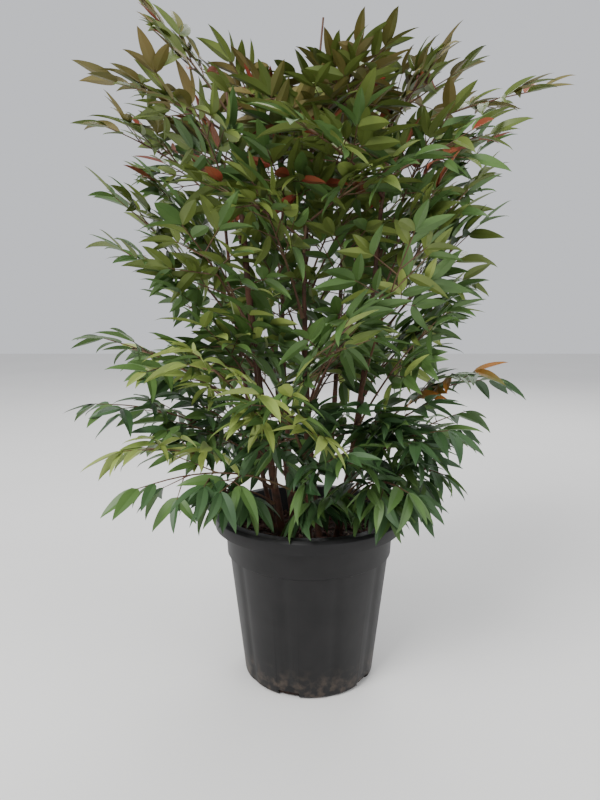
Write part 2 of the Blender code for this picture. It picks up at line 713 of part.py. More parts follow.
def fuse(name, pieces, material):
    """One body from the pieces of a mass, by one union on a collection."""
    stem = add_object(name, pieces[0].verts, pieces[0].faces, material)
    group = bpy.data.collections.new(f"{name}_pieces")
    bpy.context.scene.collection.children.link(group)
    for number, piece in enumerate(pieces[1:]):
        part = add_object(f"{name}_piece_{number}", piece.verts, piece.faces, material)
        bpy.context.scene.collection.objects.unlink(part)
        group.objects.link(part)
    union = stem.modifiers.new("union", "BOOLEAN")
    union.operation = "UNION"
    union.solver = "EXACT"
    union.operand_type = "COLLECTION"
    union.collection = group
    graph = bpy.context.evaluated_depsgraph_get()
    fused = bpy.data.meshes.new_from_object(stem.evaluated_get(graph))
    stem.modifiers.clear()
    stem.data = fused
    for part in list(group.objects):
        bpy.data.objects.remove(part, do_unlink=True)
    bpy.data.collections.remove(group)
    largest_body(fused)
    return stem


def build_canes(material):
    """The nine canes, each cut flat on the soil and at its top."""
    pieces = []
    for name, cane in CANES.items():
        tube = cane_tube(cane)
        verts, faces = tube_mesh(tube, cut=(tube.points[0], UP))
        top = len(verts) - CANE_SIDES
        for vert in verts[top:]:
            vert.z = cane.top
        made = add_object(name, verts, faces, material)
        made.data.shade_smooth()
        pieces.append(make_piece(name, (verts, faces)))
    return pieces


def build_crown(obstacles, material):
    """Every frond and crown top, each fused into one body that keeps clear of the rest."""
    masses = plan_masses()
    placed = list(obstacles)
    placed += [make_piece(name, stem) for name, (stem, _fronds) in masses.items()]
    bearing = {}
    for name, (_stem, fronds) in masses.items():
        if name.startswith("top"):
            placed += [make_piece(name, tube_mesh(stalk_tube(curve))) for curve, _full, _draws in fronds]
    for name, (_stem, fronds) in masses.items():
        twigs, bearing[name] = place_twigs(name, fronds, placed)
        placed += twigs[len(fronds):] if name.startswith("top") else twigs
    for name in masses:
        placed += place_leaves(name, bearing[name], placed)
    for name in masses:
        fuse(name, [piece for piece in placed if piece.owner == name], material)


def main():
    """Builds the plant in its pot."""
    clear_scene()
    plastic = make_material("pot_plastic", (0.022, 0.021, 0.022), 0.42)
    earth = make_material("soil", (0.030, 0.016, 0.012), 0.95)
    bark = make_material("cane_bark", (0.090, 0.042, 0.028), 0.75)
    foliage = make_material("foliage", (0.075, 0.130, 0.030), 0.45)
    obstacles = [build_pot(plastic), build_soil(earth)]
    obstacles += build_canes(bark)
    build_crown(obstacles, foliage)


main()
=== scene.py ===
"""Looks of a heavenly bamboo in its nursery pot, as an add-on whose operators each make one group of pieces.

Sizes are in metres and +Z is up.
Stalks grow by the rule and the seeds of the solids, carried on to finer twigs.
"""

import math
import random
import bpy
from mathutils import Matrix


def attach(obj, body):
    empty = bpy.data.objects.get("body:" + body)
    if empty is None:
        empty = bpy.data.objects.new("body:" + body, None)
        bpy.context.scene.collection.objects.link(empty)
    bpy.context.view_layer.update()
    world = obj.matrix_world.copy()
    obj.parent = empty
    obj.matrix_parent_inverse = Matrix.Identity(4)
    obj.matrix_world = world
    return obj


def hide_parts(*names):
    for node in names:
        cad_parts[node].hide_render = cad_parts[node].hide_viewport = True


bl_info = {
    "name": "Potted heavenly bamboo",
    "version": (1, 0, 0),
    "blender": (4, 5, 0),
    "location": "3D View > Sidebar > Plant",
    "description": "Builds the pot, soil, canes, twigs and leaves on the packed frame",
    "category": "Object",
}

from collections import namedtuple

import bmesh
import bpy
from mathutils import Matrix, Vector
from mathutils.noise import noise

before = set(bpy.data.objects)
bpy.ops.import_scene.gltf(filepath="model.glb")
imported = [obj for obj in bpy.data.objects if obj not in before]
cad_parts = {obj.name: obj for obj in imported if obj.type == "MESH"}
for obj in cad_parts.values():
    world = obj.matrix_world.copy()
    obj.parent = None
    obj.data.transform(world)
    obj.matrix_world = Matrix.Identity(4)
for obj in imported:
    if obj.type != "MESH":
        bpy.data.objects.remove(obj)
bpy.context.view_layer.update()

UP = Vector((0.0, 0.0, 1.0))
CLEARANCE = 0.0003

# The pot
POT_HEIGHT = 0.222
RIM_RADIUS = 0.125
RIM_BAND = 0.017
BASE_RADIUS = 0.0875
BASE_ROUNDING = 0.004
BODY_TOP_RADIUS = 0.1065
COLLAR_RADIUS = 0.1125
COLLAR_STEP = 0.0030
COLLAR_BOTTOM = 0.168
COLLAR_SLOPE = 0.001
LIP_ROUND = 0.0035
LIP_INNER_ROUND = 0.002
WALL = 0.0025
FLOOR = 0.003
POT_SEGMENTS = 40
FLUTE_DEPTH = 0.0012
FLUTE_SEGMENTS = 4
NOTCH_COUNT = 5
NOTCH_WIDTH = 0.028
NOTCH_HEIGHT = 0.0085
NOTCH_DEPTH = 0.013
NOTCH_OVERCUT = 0.010
NOTCH_UNDERCUT = 0.002
NOTCH_AZIMUTH = math.radians(-108.0)

# The soil
SOIL_TOP = 0.187

# The canes
Cane = namedtuple("Cane", "foot_x foot_y tip_x tip_y top radius")
CANES = {
    "cane_front_left": Cane(-0.034, -0.018, -0.083, -0.070, 0.660, 0.0054),
    "cane_left": Cane(-0.046, 0.012, -0.112, 0.045, 0.600, 0.0034),
    "cane_middle": Cane(-0.018, 0.020, -0.034, 0.032, 0.640, 0.0036),
    "cane_centre": Cane(0.013, -0.006, -0.002, -0.004, 0.650, 0.0040),
    "cane_right": Cane(0.040, 0.004, 0.096, 0.020, 0.670, 0.0042),
    "cane_front_right": Cane(0.034, -0.030, 0.078, -0.098, 0.600, 0.0036),
    "cane_back_left": Cane(-0.022, 0.044, -0.066, 0.122, 0.640, 0.0040),
    "cane_back_right": Cane(0.024, 0.040, 0.052, 0.112, 0.660, 0.0040),
    "cane_front": Cane(0.000, -0.040, -0.008, -0.112, 0.550, 0.0034),
}
CANE_TAPER = 0.58
CANE_FLARE = 0.55
CANE_FLARE_HEIGHT = 0.012
CANE_BOW = 0.010
NEARBY = 0.01

# The twigs
LEADER_SIDES = 4
LEADER_MIDDLE = 0.8
LEADER_END = 0.6
PINNA_STAGGER = 0.015
PINNA_SPREAD = (44.0, 60.0)
PINNA_DROOP = 0.4
PINNA_REACH_RANGE = (0.8, 1.15)
FROND_ROLL = 0.35
STALK_BEND = 0.45

# The crown, by the ends of its frond stalks
CROWN_RADIUS = 0.225
CROWN_DEPTH_SHARE = 0.90
CROWN_MIDDLE = 0.50
CROWN_HALF_HEIGHT = 0.36
CROWN_NARROWING = 0.5
LOW = 0.25
HIGH = 0.80
DROOP_LOW = 0.72
DROOP_HIGH = -0.22
DROOP_CURVE = 0.6

# Fronds that give the outline: the cane each leaves, how high, its stalk's end, its arch and how full it is
Frond = namedtuple("Frond", "cane height x y z arch fullness")
SIDE_FRONDS = {
    "frond_left_1": Frond("cane_left", 0.470, -0.224, -0.020, 0.612, 0.10, 0.9),
    "frond_left_2": Frond("cane_front_left", 0.420, -0.198, -0.090, 0.545, 0.12, 1.0),
    "frond_left_3": Frond("cane_front_left", 0.340, -0.218, -0.095, 0.450, 0.16, 1.0),
    "frond_left_4": Frond("cane_left", 0.280, -0.245, -0.050, 0.372, 0.20, 0.9),
    "frond_left_5": Frond("cane_front_left", 0.262, -0.194, -0.120, 0.330, 0.18, 1.0),
    "frond_left_6": Frond("cane_front", 0.255, -0.170, -0.160, 0.302, 0.22, 1.0),
    "frond_right_1": Frond("cane_right", 0.540, 0.222, 0.055, 0.692, 0.10, 0.9),
    "frond_right_2": Frond("cane_front_right", 0.470, 0.182, -0.060, 0.625, 0.10, 1.0),
    "frond_right_3": Frond("cane_right", 0.430, 0.200, 0.000, 0.580, 0.12, 0.9),
    "frond_right_4": Frond("cane_front_right", 0.350, 0.142, -0.090, 0.472, 0.14, 1.0),
    "frond_right_5": Frond("cane_right", 0.300, 0.222, 0.010, 0.395, 0.24, 0.7),
    "frond_right_6": Frond("cane_front_right", 0.275, 0.140, -0.115, 0.350, 0.22, 1.0),
    "frond_right_7": Frond("cane_right", 0.245, 0.150, -0.055, 0.290, 0.30, 1.0),
    "frond_front_1": Frond("cane_front_left", 0.330, -0.112, -0.190, 0.440, 0.12, 1.0),
    "frond_front_2": Frond("cane_front", 0.370, 0.030, -0.200, 0.470, 0.12, 1.0),
    "frond_front_3": Frond("cane_front", 0.310, -0.045, -0.200, 0.400, 0.14, 1.0),
    "frond_front_4": Frond("cane_front", 0.262, 0.030, -0.155, 0.330, 0.20, 1.0),
    "frond_front_5": Frond("cane_front_right", 0.245, 0.098, -0.130, 0.290, 0.30, 1.0),
    "frond_front_6": Frond("cane_front_left", 0.450, -0.120, -0.180, 0.560, 0.10, 1.0),
    "frond_front_7": Frond("cane_front_right", 0.400, 0.095, -0.185, 0.550, 0.10, 1.0),
}

# Fronds of the crown tops: the cane whose leader they leave, how far above its end, then the same values
TOP_FRONDS = {
    "top_front_left_1": Frond("cane_front_left", 0.045, -0.158, -0.075, 0.790, 0.05, 1.0),
    "top_front_left_2": Frond("cane_front_left", 0.020, -0.188, -0.110, 0.722, 0.10, 0.9),
    "top_left_1": Frond("cane_left", 0.040, -0.234, 0.010, 0.706, 0.08, 0.7),
    "top_left_2": Frond("cane_left", 0.020, -0.196, 0.122, 0.690, 0.10, 0.9),
    "top_middle_1": Frond("cane_middle", 0.040, -0.086, 0.000, 0.770, 0.05, 0.9),
    "top_middle_2": Frond("cane_middle", 0.020, -0.050, 0.100, 0.725, 0.06, 1.0),
    "top_right_1": Frond("cane_right", 0.050, 0.140, -0.010, 0.770, 0.05, 1.0),
    "top_right_2": Frond("cane_right", 0.030, 0.268, 0.010, 0.755, 0.08, 0.5),
    "top_back_right_1": Frond("cane_back_right", 0.050, 0.188, 0.080, 0.796, 0.05, 0.7),
    "top_back_right_2": Frond("cane_back_right", 0.030, 0.072, 0.165, 0.770, 0.06, 1.0),
    "top_centre_1": Frond("cane_centre", 0.060, 0.072, -0.040, 0.775, 0.05, 0.9),
}

# The stem that carries each cane on into its crown top: its rise, its drift to the right, and its fronds
Leader = namedtuple("Leader", "rise drift fronds")
LEADERS = {
    "cane_front_left": Leader(0.070, -0.012, 3),
    "cane_left": Leader(0.050, -0.010, 3),
    "cane_middle": Leader(0.060, -0.004, 2),
    "cane_centre": Leader(0.186, 0.018, 2),
    "cane_right": Leader(0.070, 0.010, 3),
    "cane_front_right": Leader(0.050, 0.008, 3),
    "cane_back_left": Leader(0.060, -0.008, 3),
    "cane_back_right": Leader(0.065, 0.006, 3),
    "cane_front": Leader(0.045, 0.004, 2),
}

# Fronds dealt out by rule: tiers, fronds a tier, the lowest, the rise of a tier, azimuths and share of reach
Ring = namedtuple("Ring", "tiers fronds lowest rise first_azimuth sweep reach")
RINGS = {
    "back": Ring(4, 3, 0.255, 0.088, math.radians(22.0), math.radians(136.0), 1.0),
    "inner": Ring(4, 2, 0.300, 0.075, math.radians(205.0), math.radians(130.0), 0.66),
}
STALK_RISE = 0.115
STALK_RISE_RANGE = (0.6, 1.15)
RING_ARCH = 0.14
AZIMUTH_WANDER = 0.1
JOINT_WANDER = 0.012
REACH_WANDER = 0.015
CANE_LEAN_SHARE = 0.4
CANE_OVER_JOINT = 0.02

# Crown-top fronds that aren't named, dealt out by the golden angle
GOLDEN_ANGLE = math.radians(137.5)
TOP_FROND_WANDER = 0.3
TOP_FROND_REACH = 0.110
TOP_FROND_REACH_RANGE = (0.85, 1.1)
TOP_FROND_RISE = 0.045
TOP_FROND_RISE_RANGE = (0.8, 1.2)
TOP_FROND_LOWEST = 0.012
TOP_FROND_STEP = 0.018
TOP_FROND_ARCH = 0.10

Tube = namedtuple("Tube", "points radii sides")


def lerp(low, high, share):
    """The value this share of the way from low to high."""
    return low + (high - low) * share


def turned_profile(profile, segments, radius_at):
    """Points and faces of a closed outline turned round Z, whose first and last points lie on the axis."""
    verts = [Vector((0.0, 0.0, profile[0][1]))]
    for index, (radius, height) in enumerate(profile[1:-1], start=1):
        for step in range(segments):
            angle = math.tau * step / segments
            turned = radius_at(index, step, radius)
            verts.append(Vector((turned * math.cos(angle), turned * math.sin(angle), height)))
    verts.append(Vector((0.0, 0.0, profile[-1][1])))
    faces = []
    rings = len(profile) - 2
    for step in range(segments):
        following = (step + 1) % segments
        faces.append((0, 1 + following, 1 + step))
        for ring in range(rings - 1):
            here = 1 + ring * segments
            above = here + segments
            faces.append((here + step, here + following, above + following, above + step))
        last = 1 + (rings - 1) * segments
        faces.append((last + step, last + following, len(verts) - 1))
    return verts, faces


def pot_profile():
    """The pot's section from the middle of its underside, up the outside, over the lip and down inside."""
    lip_under = POT_HEIGHT - WALL
    inner_collar = COLLAR_RADIUS - WALL
    inner_body = BODY_TOP_RADIUS - WALL
    return [
        (0.0, 0.0),
        (BASE_RADIUS - BASE_ROUNDING, 0.0),
        (BASE_RADIUS, BASE_ROUNDING),
        (BODY_TOP_RADIUS, COLLAR_BOTTOM - COLLAR_SLOPE),
        (BODY_TOP_RADIUS + COLLAR_STEP, COLLAR_BOTTOM + COLLAR_SLOPE),
        (COLLAR_RADIUS, lip_under),
        (RIM_RADIUS - WALL, lip_under - COLLAR_SLOPE),
        (RIM_RADIUS - WALL, POT_HEIGHT - RIM_BAND),
        (RIM_RADIUS, POT_HEIGHT - RIM_BAND),
        (RIM_RADIUS, POT_HEIGHT - LIP_ROUND),
        (RIM_RADIUS - LIP_ROUND, POT_HEIGHT),
        (inner_collar + LIP_INNER_ROUND / 2, POT_HEIGHT),
        (inner_collar, POT_HEIGHT - LIP_INNER_ROUND),
        (inner_body + COLLAR_STEP, COLLAR_BOTTOM + COLLAR_SLOPE),
        (inner_body, COLLAR_BOTTOM - COLLAR_SLOPE),
        (BASE_RADIUS - WALL, FLOOR),
        (0.0, FLOOR),
    ]


def box_faces():
    """The six faces of a box whose corners count up by x, then y, then z."""
    return [(0, 2, 3, 1), (4, 5, 7, 6), (0, 1, 5, 4), (2, 6, 7, 3), (0, 4, 6, 2), (1, 3, 7, 5)]


def inner_radius(height):
    """The radius of the pot's inner wall at a height above its floor."""
    if height < COLLAR_BOTTOM:
        share = (height - FLOOR) / (COLLAR_BOTTOM - COLLAR_SLOPE - FLOOR)
        return lerp(BASE_RADIUS, BODY_TOP_RADIUS, share) - WALL
    share = (height - COLLAR_BOTTOM) / (POT_HEIGHT - COLLAR_BOTTOM)
    return lerp(BODY_TOP_RADIUS + COLLAR_STEP, COLLAR_RADIUS, share) - WALL


def cane_point(cane, height):
    """The middle of a cane at a height, leaning and bowing a little outwards."""
    share = (height - SOIL_TOP) / (cane.top - SOIL_TOP)
    foot = Vector((cane.foot_x, cane.foot_y, 0.0))
    tip = Vector((cane.tip_x, cane.tip_y, 0.0))
    bow = (tip - foot).normalized() * CANE_BOW * math.sin(math.pi * share)
    middle = foot.lerp(tip, share) + bow
    return Vector((middle.x, middle.y, height))


def cane_radius(cane, height):
    """A cane's radius at a height, with its taper and the flare of its foot."""
    share = (height - SOIL_TOP) / (cane.top - SOIL_TOP)
    flare = CANE_FLARE * max(0.0, 1.0 - (height - SOIL_TOP) / CANE_FLARE_HEIGHT)
    return cane.radius * (lerp(1.0, CANE_TAPER, share) + flare)


def stalk_point(start, bend, end, share):
    """A point on the curve from start to end that leans towards bend."""
    rest = 1.0 - share
    return start * rest * rest + bend * 2.0 * rest * share + end * share * share


def stalk_direction(start, bend, end, share):
    """The direction of that curve."""
    return ((bend - start) * (1.0 - share) + (end - bend) * share).normalized()


def stalk_curve(start, frond):
    """The start, bend and end of a frond's stalk, which climbs steeply and then arches out."""
    end = Vector((frond.x, frond.y, frond.z))
    bend = start.lerp(end, STALK_BEND) + UP * frond.arch * (end - start).length
    return start, bend, end


def frond_axes(curve, share, roll):
    """A frond's direction, its side and its upper face at a share of its stalk."""
    forward = stalk_direction(*curve, share)
    level = Vector((curve[2].x - curve[0].x, curve[2].y - curve[0].y, 0.0))
    side = UP.cross(level).normalized()
    side = (side * math.cos(roll) + forward.cross(side) * math.sin(roll)).normalized()
    side = (side - forward * side.dot(forward)).normalized()
    return forward, side, forward.cross(side)


def droop_at(height):
    """How far leaves hang at a height: the low ones droop and the top ones stand."""
    share = min(max((height - LOW) / (HIGH - LOW), 0.0), 1.0)
    return lerp(DROOP_LOW, DROOP_HIGH, share**DROOP_CURVE)


def crown_reach(azimuth, height):
    """How far from the middle the frond stalks reach, by direction and height."""
    share = (height - CROWN_MIDDLE) / CROWN_HALF_HEIGHT
    radius = CROWN_RADIUS * (1.0 - CROWN_NARROWING * share**4)
    return Vector((radius * math.cos(azimuth), radius * CROWN_DEPTH_SHARE * math.sin(azimuth), height))


def nearest_cane(point, height):
    """The name of the cane that stands nearest below a point."""
    flat = Vector((point.x, point.y, 0.0)) * CANE_LEAN_SHARE
    level = Vector((1.0, 1.0, 0.0))
    reaching = [name for name, cane in CANES.items() if cane.top > height + CANE_OVER_JOINT]
    return min(reaching, key=lambda name: (cane_point(CANES[name], height) * level - flat).length)


def ring_fronds(ring_name, ring):
    """Fronds dealt out by rule over one side of the crown, in tiers that alternate."""
    draws = random.Random(ring_name)
    made = {}
    for tier in range(ring.tiers):
        for place in range(ring.fronds):
            share = (place + 0.5 * (tier % 2)) / (ring.fronds - 0.5)
            azimuth = ring.first_azimuth + ring.sweep * share
            azimuth += draws.uniform(-AZIMUTH_WANDER, AZIMUTH_WANDER)
            leaves_at = ring.lowest + ring.rise * tier + draws.uniform(-JOINT_WANDER, JOINT_WANDER)
            rise = lerp(*STALK_RISE_RANGE, tier / (ring.tiers - 1)) * STALK_RISE
            end = crown_reach(azimuth, leaves_at + rise + draws.uniform(-REACH_WANDER, REACH_WANDER))
            end *= Vector((ring.reach, ring.reach, 1.0))
            cane = nearest_cane(end, leaves_at)
            name = f"frond_{ring_name}_{tier * ring.fronds + place + 1}"
            made[name] = Frond(cane, leaves_at, end.x, end.y, end.z, RING_ARCH, 1.0)
    return made


def top_fronds(cane_name):
    """The fronds of one crown top: the named ones, and others by the golden angle up to the usual count."""
    cane = CANES[cane_name]
    named = [frond for frond in TOP_FRONDS.values() if frond.cane == cane_name]
    fronds = list(named)
    base = cane_point(cane, cane.top)
    outward = math.atan2(base.y, base.x)
    draws = random.Random(cane_name)
    for number in range(len(named), LEADERS[cane_name].fronds):
        azimuth = outward + GOLDEN_ANGLE * (number - 0.5)
        azimuth += draws.uniform(-TOP_FROND_WANDER, TOP_FROND_WANDER)
        reach = TOP_FROND_REACH * draws.uniform(*TOP_FROND_REACH_RANGE)
        rise = TOP_FROND_RISE * draws.uniform(*TOP_FROND_RISE_RANGE)
        leaves_at = TOP_FROND_LOWEST + TOP_FROND_STEP * number
        end = base + Vector((reach * math.cos(azimuth), reach * math.sin(azimuth), leaves_at + rise))
        fronds.append(Frond(cane_name, leaves_at, end.x, end.y, end.z, TOP_FROND_ARCH, 1.0))
    return fronds


def leader_tube(cane_name):
    """The stem of a crown top, which carries its cane on."""
    cane = CANES[cane_name]
    leader = LEADERS[cane_name]
    base = cane_point(cane, cane.top + CLEARANCE)
    end = base + Vector((leader.drift, 0.0, leader.rise))
    radius = cane_radius(cane, cane.top)
    radii = [radius, radius * LEADER_MIDDLE, radius * LEADER_END]
    return Tube([base, base.lerp(end, 0.5), end], radii, LEADER_SIDES)


def side_start(frond):
    """Where a side frond leaves its cane: a point just clear of the cane's side, and the way out from it."""
    cane = CANES[frond.cane]
    middle = cane_point(cane, frond.height)
    lean = (cane_point(cane, frond.height + NEARBY) - cane_point(cane, frond.height - NEARBY)).normalized()
    outward = Vector((frond.x - middle.x, frond.y - middle.y, 0.0))
    outward = (outward - lean * outward.dot(lean)).normalized()
    return middle + outward * (cane_radius(cane, frond.height - NEARBY) + CLEARANCE), outward


# The fine pot, whose flutes run between two rings of its section
FINE_POT_SEGMENTS = 160
FLUTED_RINGS = (2, 3)
FLUTE_SHARPNESS = 6
EDGE_ROUNDING = 0.0009
EDGE_STEPS = 2
SHARP_EDGE = math.radians(40)
POCKET_RADIUS = 0.021
POCKET_DEPTH = 0.0002
POCKET_MIDDLE = -0.004
POCKET_SIDES = 40

# The fine soil: each heave is a height and how close its lumps are
SOIL_GAP = 0.001
SOIL_RINGS = 26
SOIL_SIDES = 90
SOIL_MIDDLE = 0.004
SOIL_SINK = 0.002
SOIL_CROWN = 0.001
SOIL_LOOSE = 0.01
SOIL_HEAVES = ((0.0028, 70), (0.0016, 190))

# Bark chips and flecks: the shortest and longest, and what makes each one's form
CHIP_SIZES = (0.004, 0.013)
FLECK_SIZES = (0.0015, 0.004)
CHIP_MARGIN = 0.008
CHIP_SINK = 0.0005
CHIP_TILT = 0.5
CHIP_BREADTH = 0.45
CHIP_BREADTH_WANDER = 0.12
CHIP_BREADTH_GRAIN = 3
CHIP_THICKNESS = 0.22
CHIP_LENGTH_WANDER = 0.25
CHIP_LENGTH_GRAIN = 5

# The fine canes, with a leaf scar and a sheath at every joint
CANE_FINE_RINGS = 90
CANE_FINE_SIDES = 14
CANE_SINK = 0.004
JOINT_SPACING = 0.034
JOINT_MIDDLE = 0.5
JOINT_WIDTH = 0.07
JOINT_SWELL = 0.16
JOINTS_APART = 40
SHEATH_FLARE = 0.22
SHEATH_START = 0.6
BARK_RELIEF = 0.10
BARK_RIDGES = 2
BARK_GRAIN = 45
BARK_VARIETY = 90

# The fine twigs: each pair of side twigs is its joint on the stalk and its reach
SIDE_TWIGS = ((0.46, 0.30), (0.65, 0.21), (0.82, 0.13))
SIDE_TWIG_SPARE = 0.25
STALK_STEPS = 14
STALK_TAPER = (1.25, 0.55)
STALK_TIP = 0.4
STALK_FOOT_SWELL = 1.7
STALK_EXTENSION = 0.020
SIDE_TWIG_RADIUS = 0.62
TWIG_TAPER = 0.8
TWIG_JOINT = 0.06
TWIG_JOINT_SWELL = 1.8
FINE_TWIG_RADIUS = 0.7
FORK_SHARES = (0.52, 0.60)
FORK_TURNS = (-0.9, 0.9)
PINNULE_LENGTH = 0.016
PINNULE_RANGE = (0.7, 1.2)
PINNA_LIFT = (-0.40, 0.50)
TWIG_SIDES = 6

# Where leaflets sit: the last ones are their share back from the stalk's tip and their turn
CLUSTER_TURNS = (-0.85, 0.0, 0.85)
CLUSTER_SIDE = 0.75
CLUSTER_END = 0.98
END_LEAFLETS = ((1.0, 0.85), (0.85, -0.85), (0.08, 0.75), (0.0, -0.80), (0.0, 0.0))
END_LEAFLET_SIZE = 1.1
LEAFLET_RANGE = (0.78, 1.12)
LEAFLET_DROOP = 0.9
LEAFLET_WANDER = 0.38
LEAFLET_ROLL = 0.7
LEAFLET_PITCH = 0.4
LEAFLET_SINK = 0.0008

# The leaflet's blade, as shares of its length
STATIONS = 8
BLADE_SKEW = 0.72
BLADE_FULLNESS = 0.85
BLADE_FOLD = 0.34
BLADE_THICKNESS = 0.006
BLADE_THINNING = 1.2
TIP_CURL = 1.15
FLAT_CURL = 0.10
DEEP_CURL = 0.24
MIDRIB_ANGLE = math.radians(26.0)

# Colours are linear, and a leaf mottles between its two
PALETTE = {
    "bronze": ((0.175, 0.130, 0.042), (0.115, 0.118, 0.032)),
    "olive": ((0.135, 0.175, 0.036), (0.090, 0.125, 0.026)),
    "green": ((0.085, 0.155, 0.040), (0.052, 0.105, 0.027)),
    "dark": ((0.048, 0.100, 0.034), (0.027, 0.064, 0.022)),
    "pale": ((0.270, 0.330, 0.080), (0.180, 0.250, 0.060)),
    "red": ((0.300, 0.050, 0.030), (0.190, 0.070, 0.030)),
    "orange": ((0.480, 0.170, 0.035), (0.150, 0.150, 0.035)),
}

# Finishes: two colours, how rough, how fine the grain, how strong the relief, and how high dust lies
Finish = namedtuple("Finish", "first second roughness grain relief dust")
FINISHES = {
    "pot_plastic": Finish((0.0040, 0.0037, 0.0040), (0.0080, 0.0073, 0.0077), 0.50, 35.0, 0.08, 0.045),
    "soil": Finish((0.012, 0.007, 0.005), (0.040, 0.022, 0.015), 0.95, 160.0, 0.8, None),
    "soil_chips": Finish((0.075, 0.030, 0.020), (0.030, 0.014, 0.011), 0.9, 120.0, 0.3, None),
    "soil_flecks": Finish((0.420, 0.350, 0.250), (0.250, 0.190, 0.130), 0.9, 120.0, 0.3, None),
    "bark": Finish((0.110, 0.046, 0.028), (0.045, 0.026, 0.018), 0.8, 90.0, 0.6, None),
    "twig": Finish((0.120, 0.075, 0.035), (0.090, 0.040, 0.028), 0.6, 30.0, 0.2, None),
    "floor": Finish((0.80, 0.79, 0.77), (0.78, 0.77, 0.75), 0.9, 2.0, 0.0, None),
}
FINISHES |= {f"leaf_{colour}": Finish(*pair, 0.42, 14.0, 0.05, None) for colour, pair in PALETTE.items()}
SPECULAR = 0.32
RELIEF_HEIGHT = 0.001
MOTTLE_DETAIL = 5.0
MOTTLE_EDGES = (0.35, 0.65)
DUST_COLOUR = (0.085, 0.062, 0.046)
DUST_GRAIN = 90.0
DUST_DETAIL = 6.0
DUST_EDGES = (0.45, 0.70)

# The colour sockets of a Mix node
MIX_FIRST = 6
MIX_SECOND = 7
MIX_RESULT = 2

# Which leaflets are which colour, by frond, by height and by chance
PALE_FRONDS = ("frond_front_1", "frond_left_5", "frond_front_3")
PALE_CHANCE = 0.75
TURNING_FROND = "frond_right_5"
TURNING_CHANCE = 0.3
RED_BAND = 0.60
TOP_BAND = 0.70
MIDDLE_BAND = 0.52
LOW_BAND = 0.40
BRONZE_CHANCE = 0.45
OLIVE_CHANCE = 0.55
GREEN_CHANCE = 0.8
DARK_CHANCE = 0.6

# The stage: each lamp is its place, power and size
FLOOR_REACH = 6
LAMPS = {
    "key": ((-1.6, -1.9, 2.6), 135.0, 1.6),
    "fill": ((2.2, -1.4, 1.6), 28.0, 2.0),
    "back": ((0.6, 2.2, 2.2), 35.0, 1.6),
}
LAMP_AIM = Vector((0.0, 0.0, 0.42))
STUDIO_COLOUR = (0.93, 0.95, 1.0, 1.0)
STUDIO_STRENGTH = 0.80
CAMERA_PLACE = (-0.0121, -0.833, 0.491)
CAMERA_TILT = math.radians(81.75)
CAMERA_LENS = 28.8

# Small fronds that fill the middle of the crown, dealt out by the same rule within the same reach
FILL_RINGS = {
    "heart": Ring(5, 3, 0.270, 0.078, 0.0, math.radians(300.0), 0.40),
    "fill": Ring(4, 3, 0.290, 0.090, math.radians(195.0), math.radians(150.0), 0.74),
}

# Three low sprays that hang over the soil and the lip
LOW_SPRAYS = {
    "frond_low_1": Frond("cane_front", 0.236, 0.014, -0.088, 0.264, 0.20, 1.0),
    "frond_low_2": Frond("cane_front_right", 0.232, 0.112, -0.088, 0.268, 0.20, 1.0),
    "frond_low_3": Frond("cane_front_left", 0.240, -0.112, -0.080, 0.270, 0.20, 1.0),
}

Site = namedtuple("Site", "root turn length")


class PlantSettings(bpy.types.PropertyGroup):
    """Sizes of the fine pieces."""

    leaflet: bpy.props.FloatProperty(
        name="Leaflet",
        description="Length of a leaflet",
        default=0.044,
        unit="LENGTH",
    )
    slenderness: bpy.props.FloatProperty(
        name="Slenderness",
        description="Leaflet width over its length",
        default=0.29,
        subtype="FACTOR",
    )
    twig_radius: bpy.props.FloatProperty(
        name="Twig radius",
        description="Radius of a leaf stalk at its foot",
        default=0.0013,
        unit="LENGTH",
    )
    red_share: bpy.props.FloatProperty(
        name="Red share",
        description="Share of the top leaves that are red",
        default=0.08,
        subtype="FACTOR",
    )
    chips: bpy.props.IntProperty(
        name="Chips",
        description="Pieces of bark on the soil",
        default=420,
    )
    flecks: bpy.props.IntProperty(
        name="Flecks",
        description="Pale flecks on the soil",
        default=60,
    )


def settings():
    """The settings of this scene."""
    return bpy.context.scene.plant_settings


def link_object(name, data):
    """A new object at the origin, in the scene."""
    made = bpy.data.objects.new(name, data)
    bpy.context.scene.collection.objects.link(made)
    return made


def face_outwards(mesh):
    """Turns the faces of a closed mesh outwards."""
    work = bmesh.new()
    work.from_mesh(mesh)
    bmesh.ops.recalc_face_normals(work, faces=work.faces)
    work.to_mesh(mesh)
    work.free()


def mesh_object(name, verts, faces, smooth=True):
    """An object at the origin whose closed mesh faces outwards."""
    mesh = bpy.data.meshes.new(name)
    mesh.from_pydata([tuple(vert) for vert in verts], [], faces)
    face_outwards(mesh)
    if smooth:
        mesh.shade_smooth()
    return link_object(name, mesh)


def shaped_object(name, work):
    """An object at the origin made of a finished bmesh."""
    mesh = bpy.data.meshes.new(name)
    work.to_mesh(mesh)
    work.free()
    return link_object(name, mesh)


def declare(piece, nodes):
    """Ties a finished piece to the frame."""
    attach(piece, "root")
    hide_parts(*nodes)


def new_tree(name, kind, inputs, outputs):
    """A node tree with named sockets, and the two nodes that stand for them."""
    tree = bpy.data.node_groups.new(name, kind)
    for way, sockets in (("INPUT", inputs), ("OUTPUT", outputs)):
        for label, socket in sockets.items():
            tree.interface.new_socket(label, in_out=way, socket_type=f"NodeSocket{socket}")
    return tree, tree.nodes.new("NodeGroupInput"), tree.nodes.new("NodeGroupOutput")


def link_nodes(tree, *links):
    """Links nodes, each link given as a node and its output, then a node and its input."""
    for giver, output, taker, entry in links:
        tree.links.new(giver.outputs[output], taker.inputs[entry])


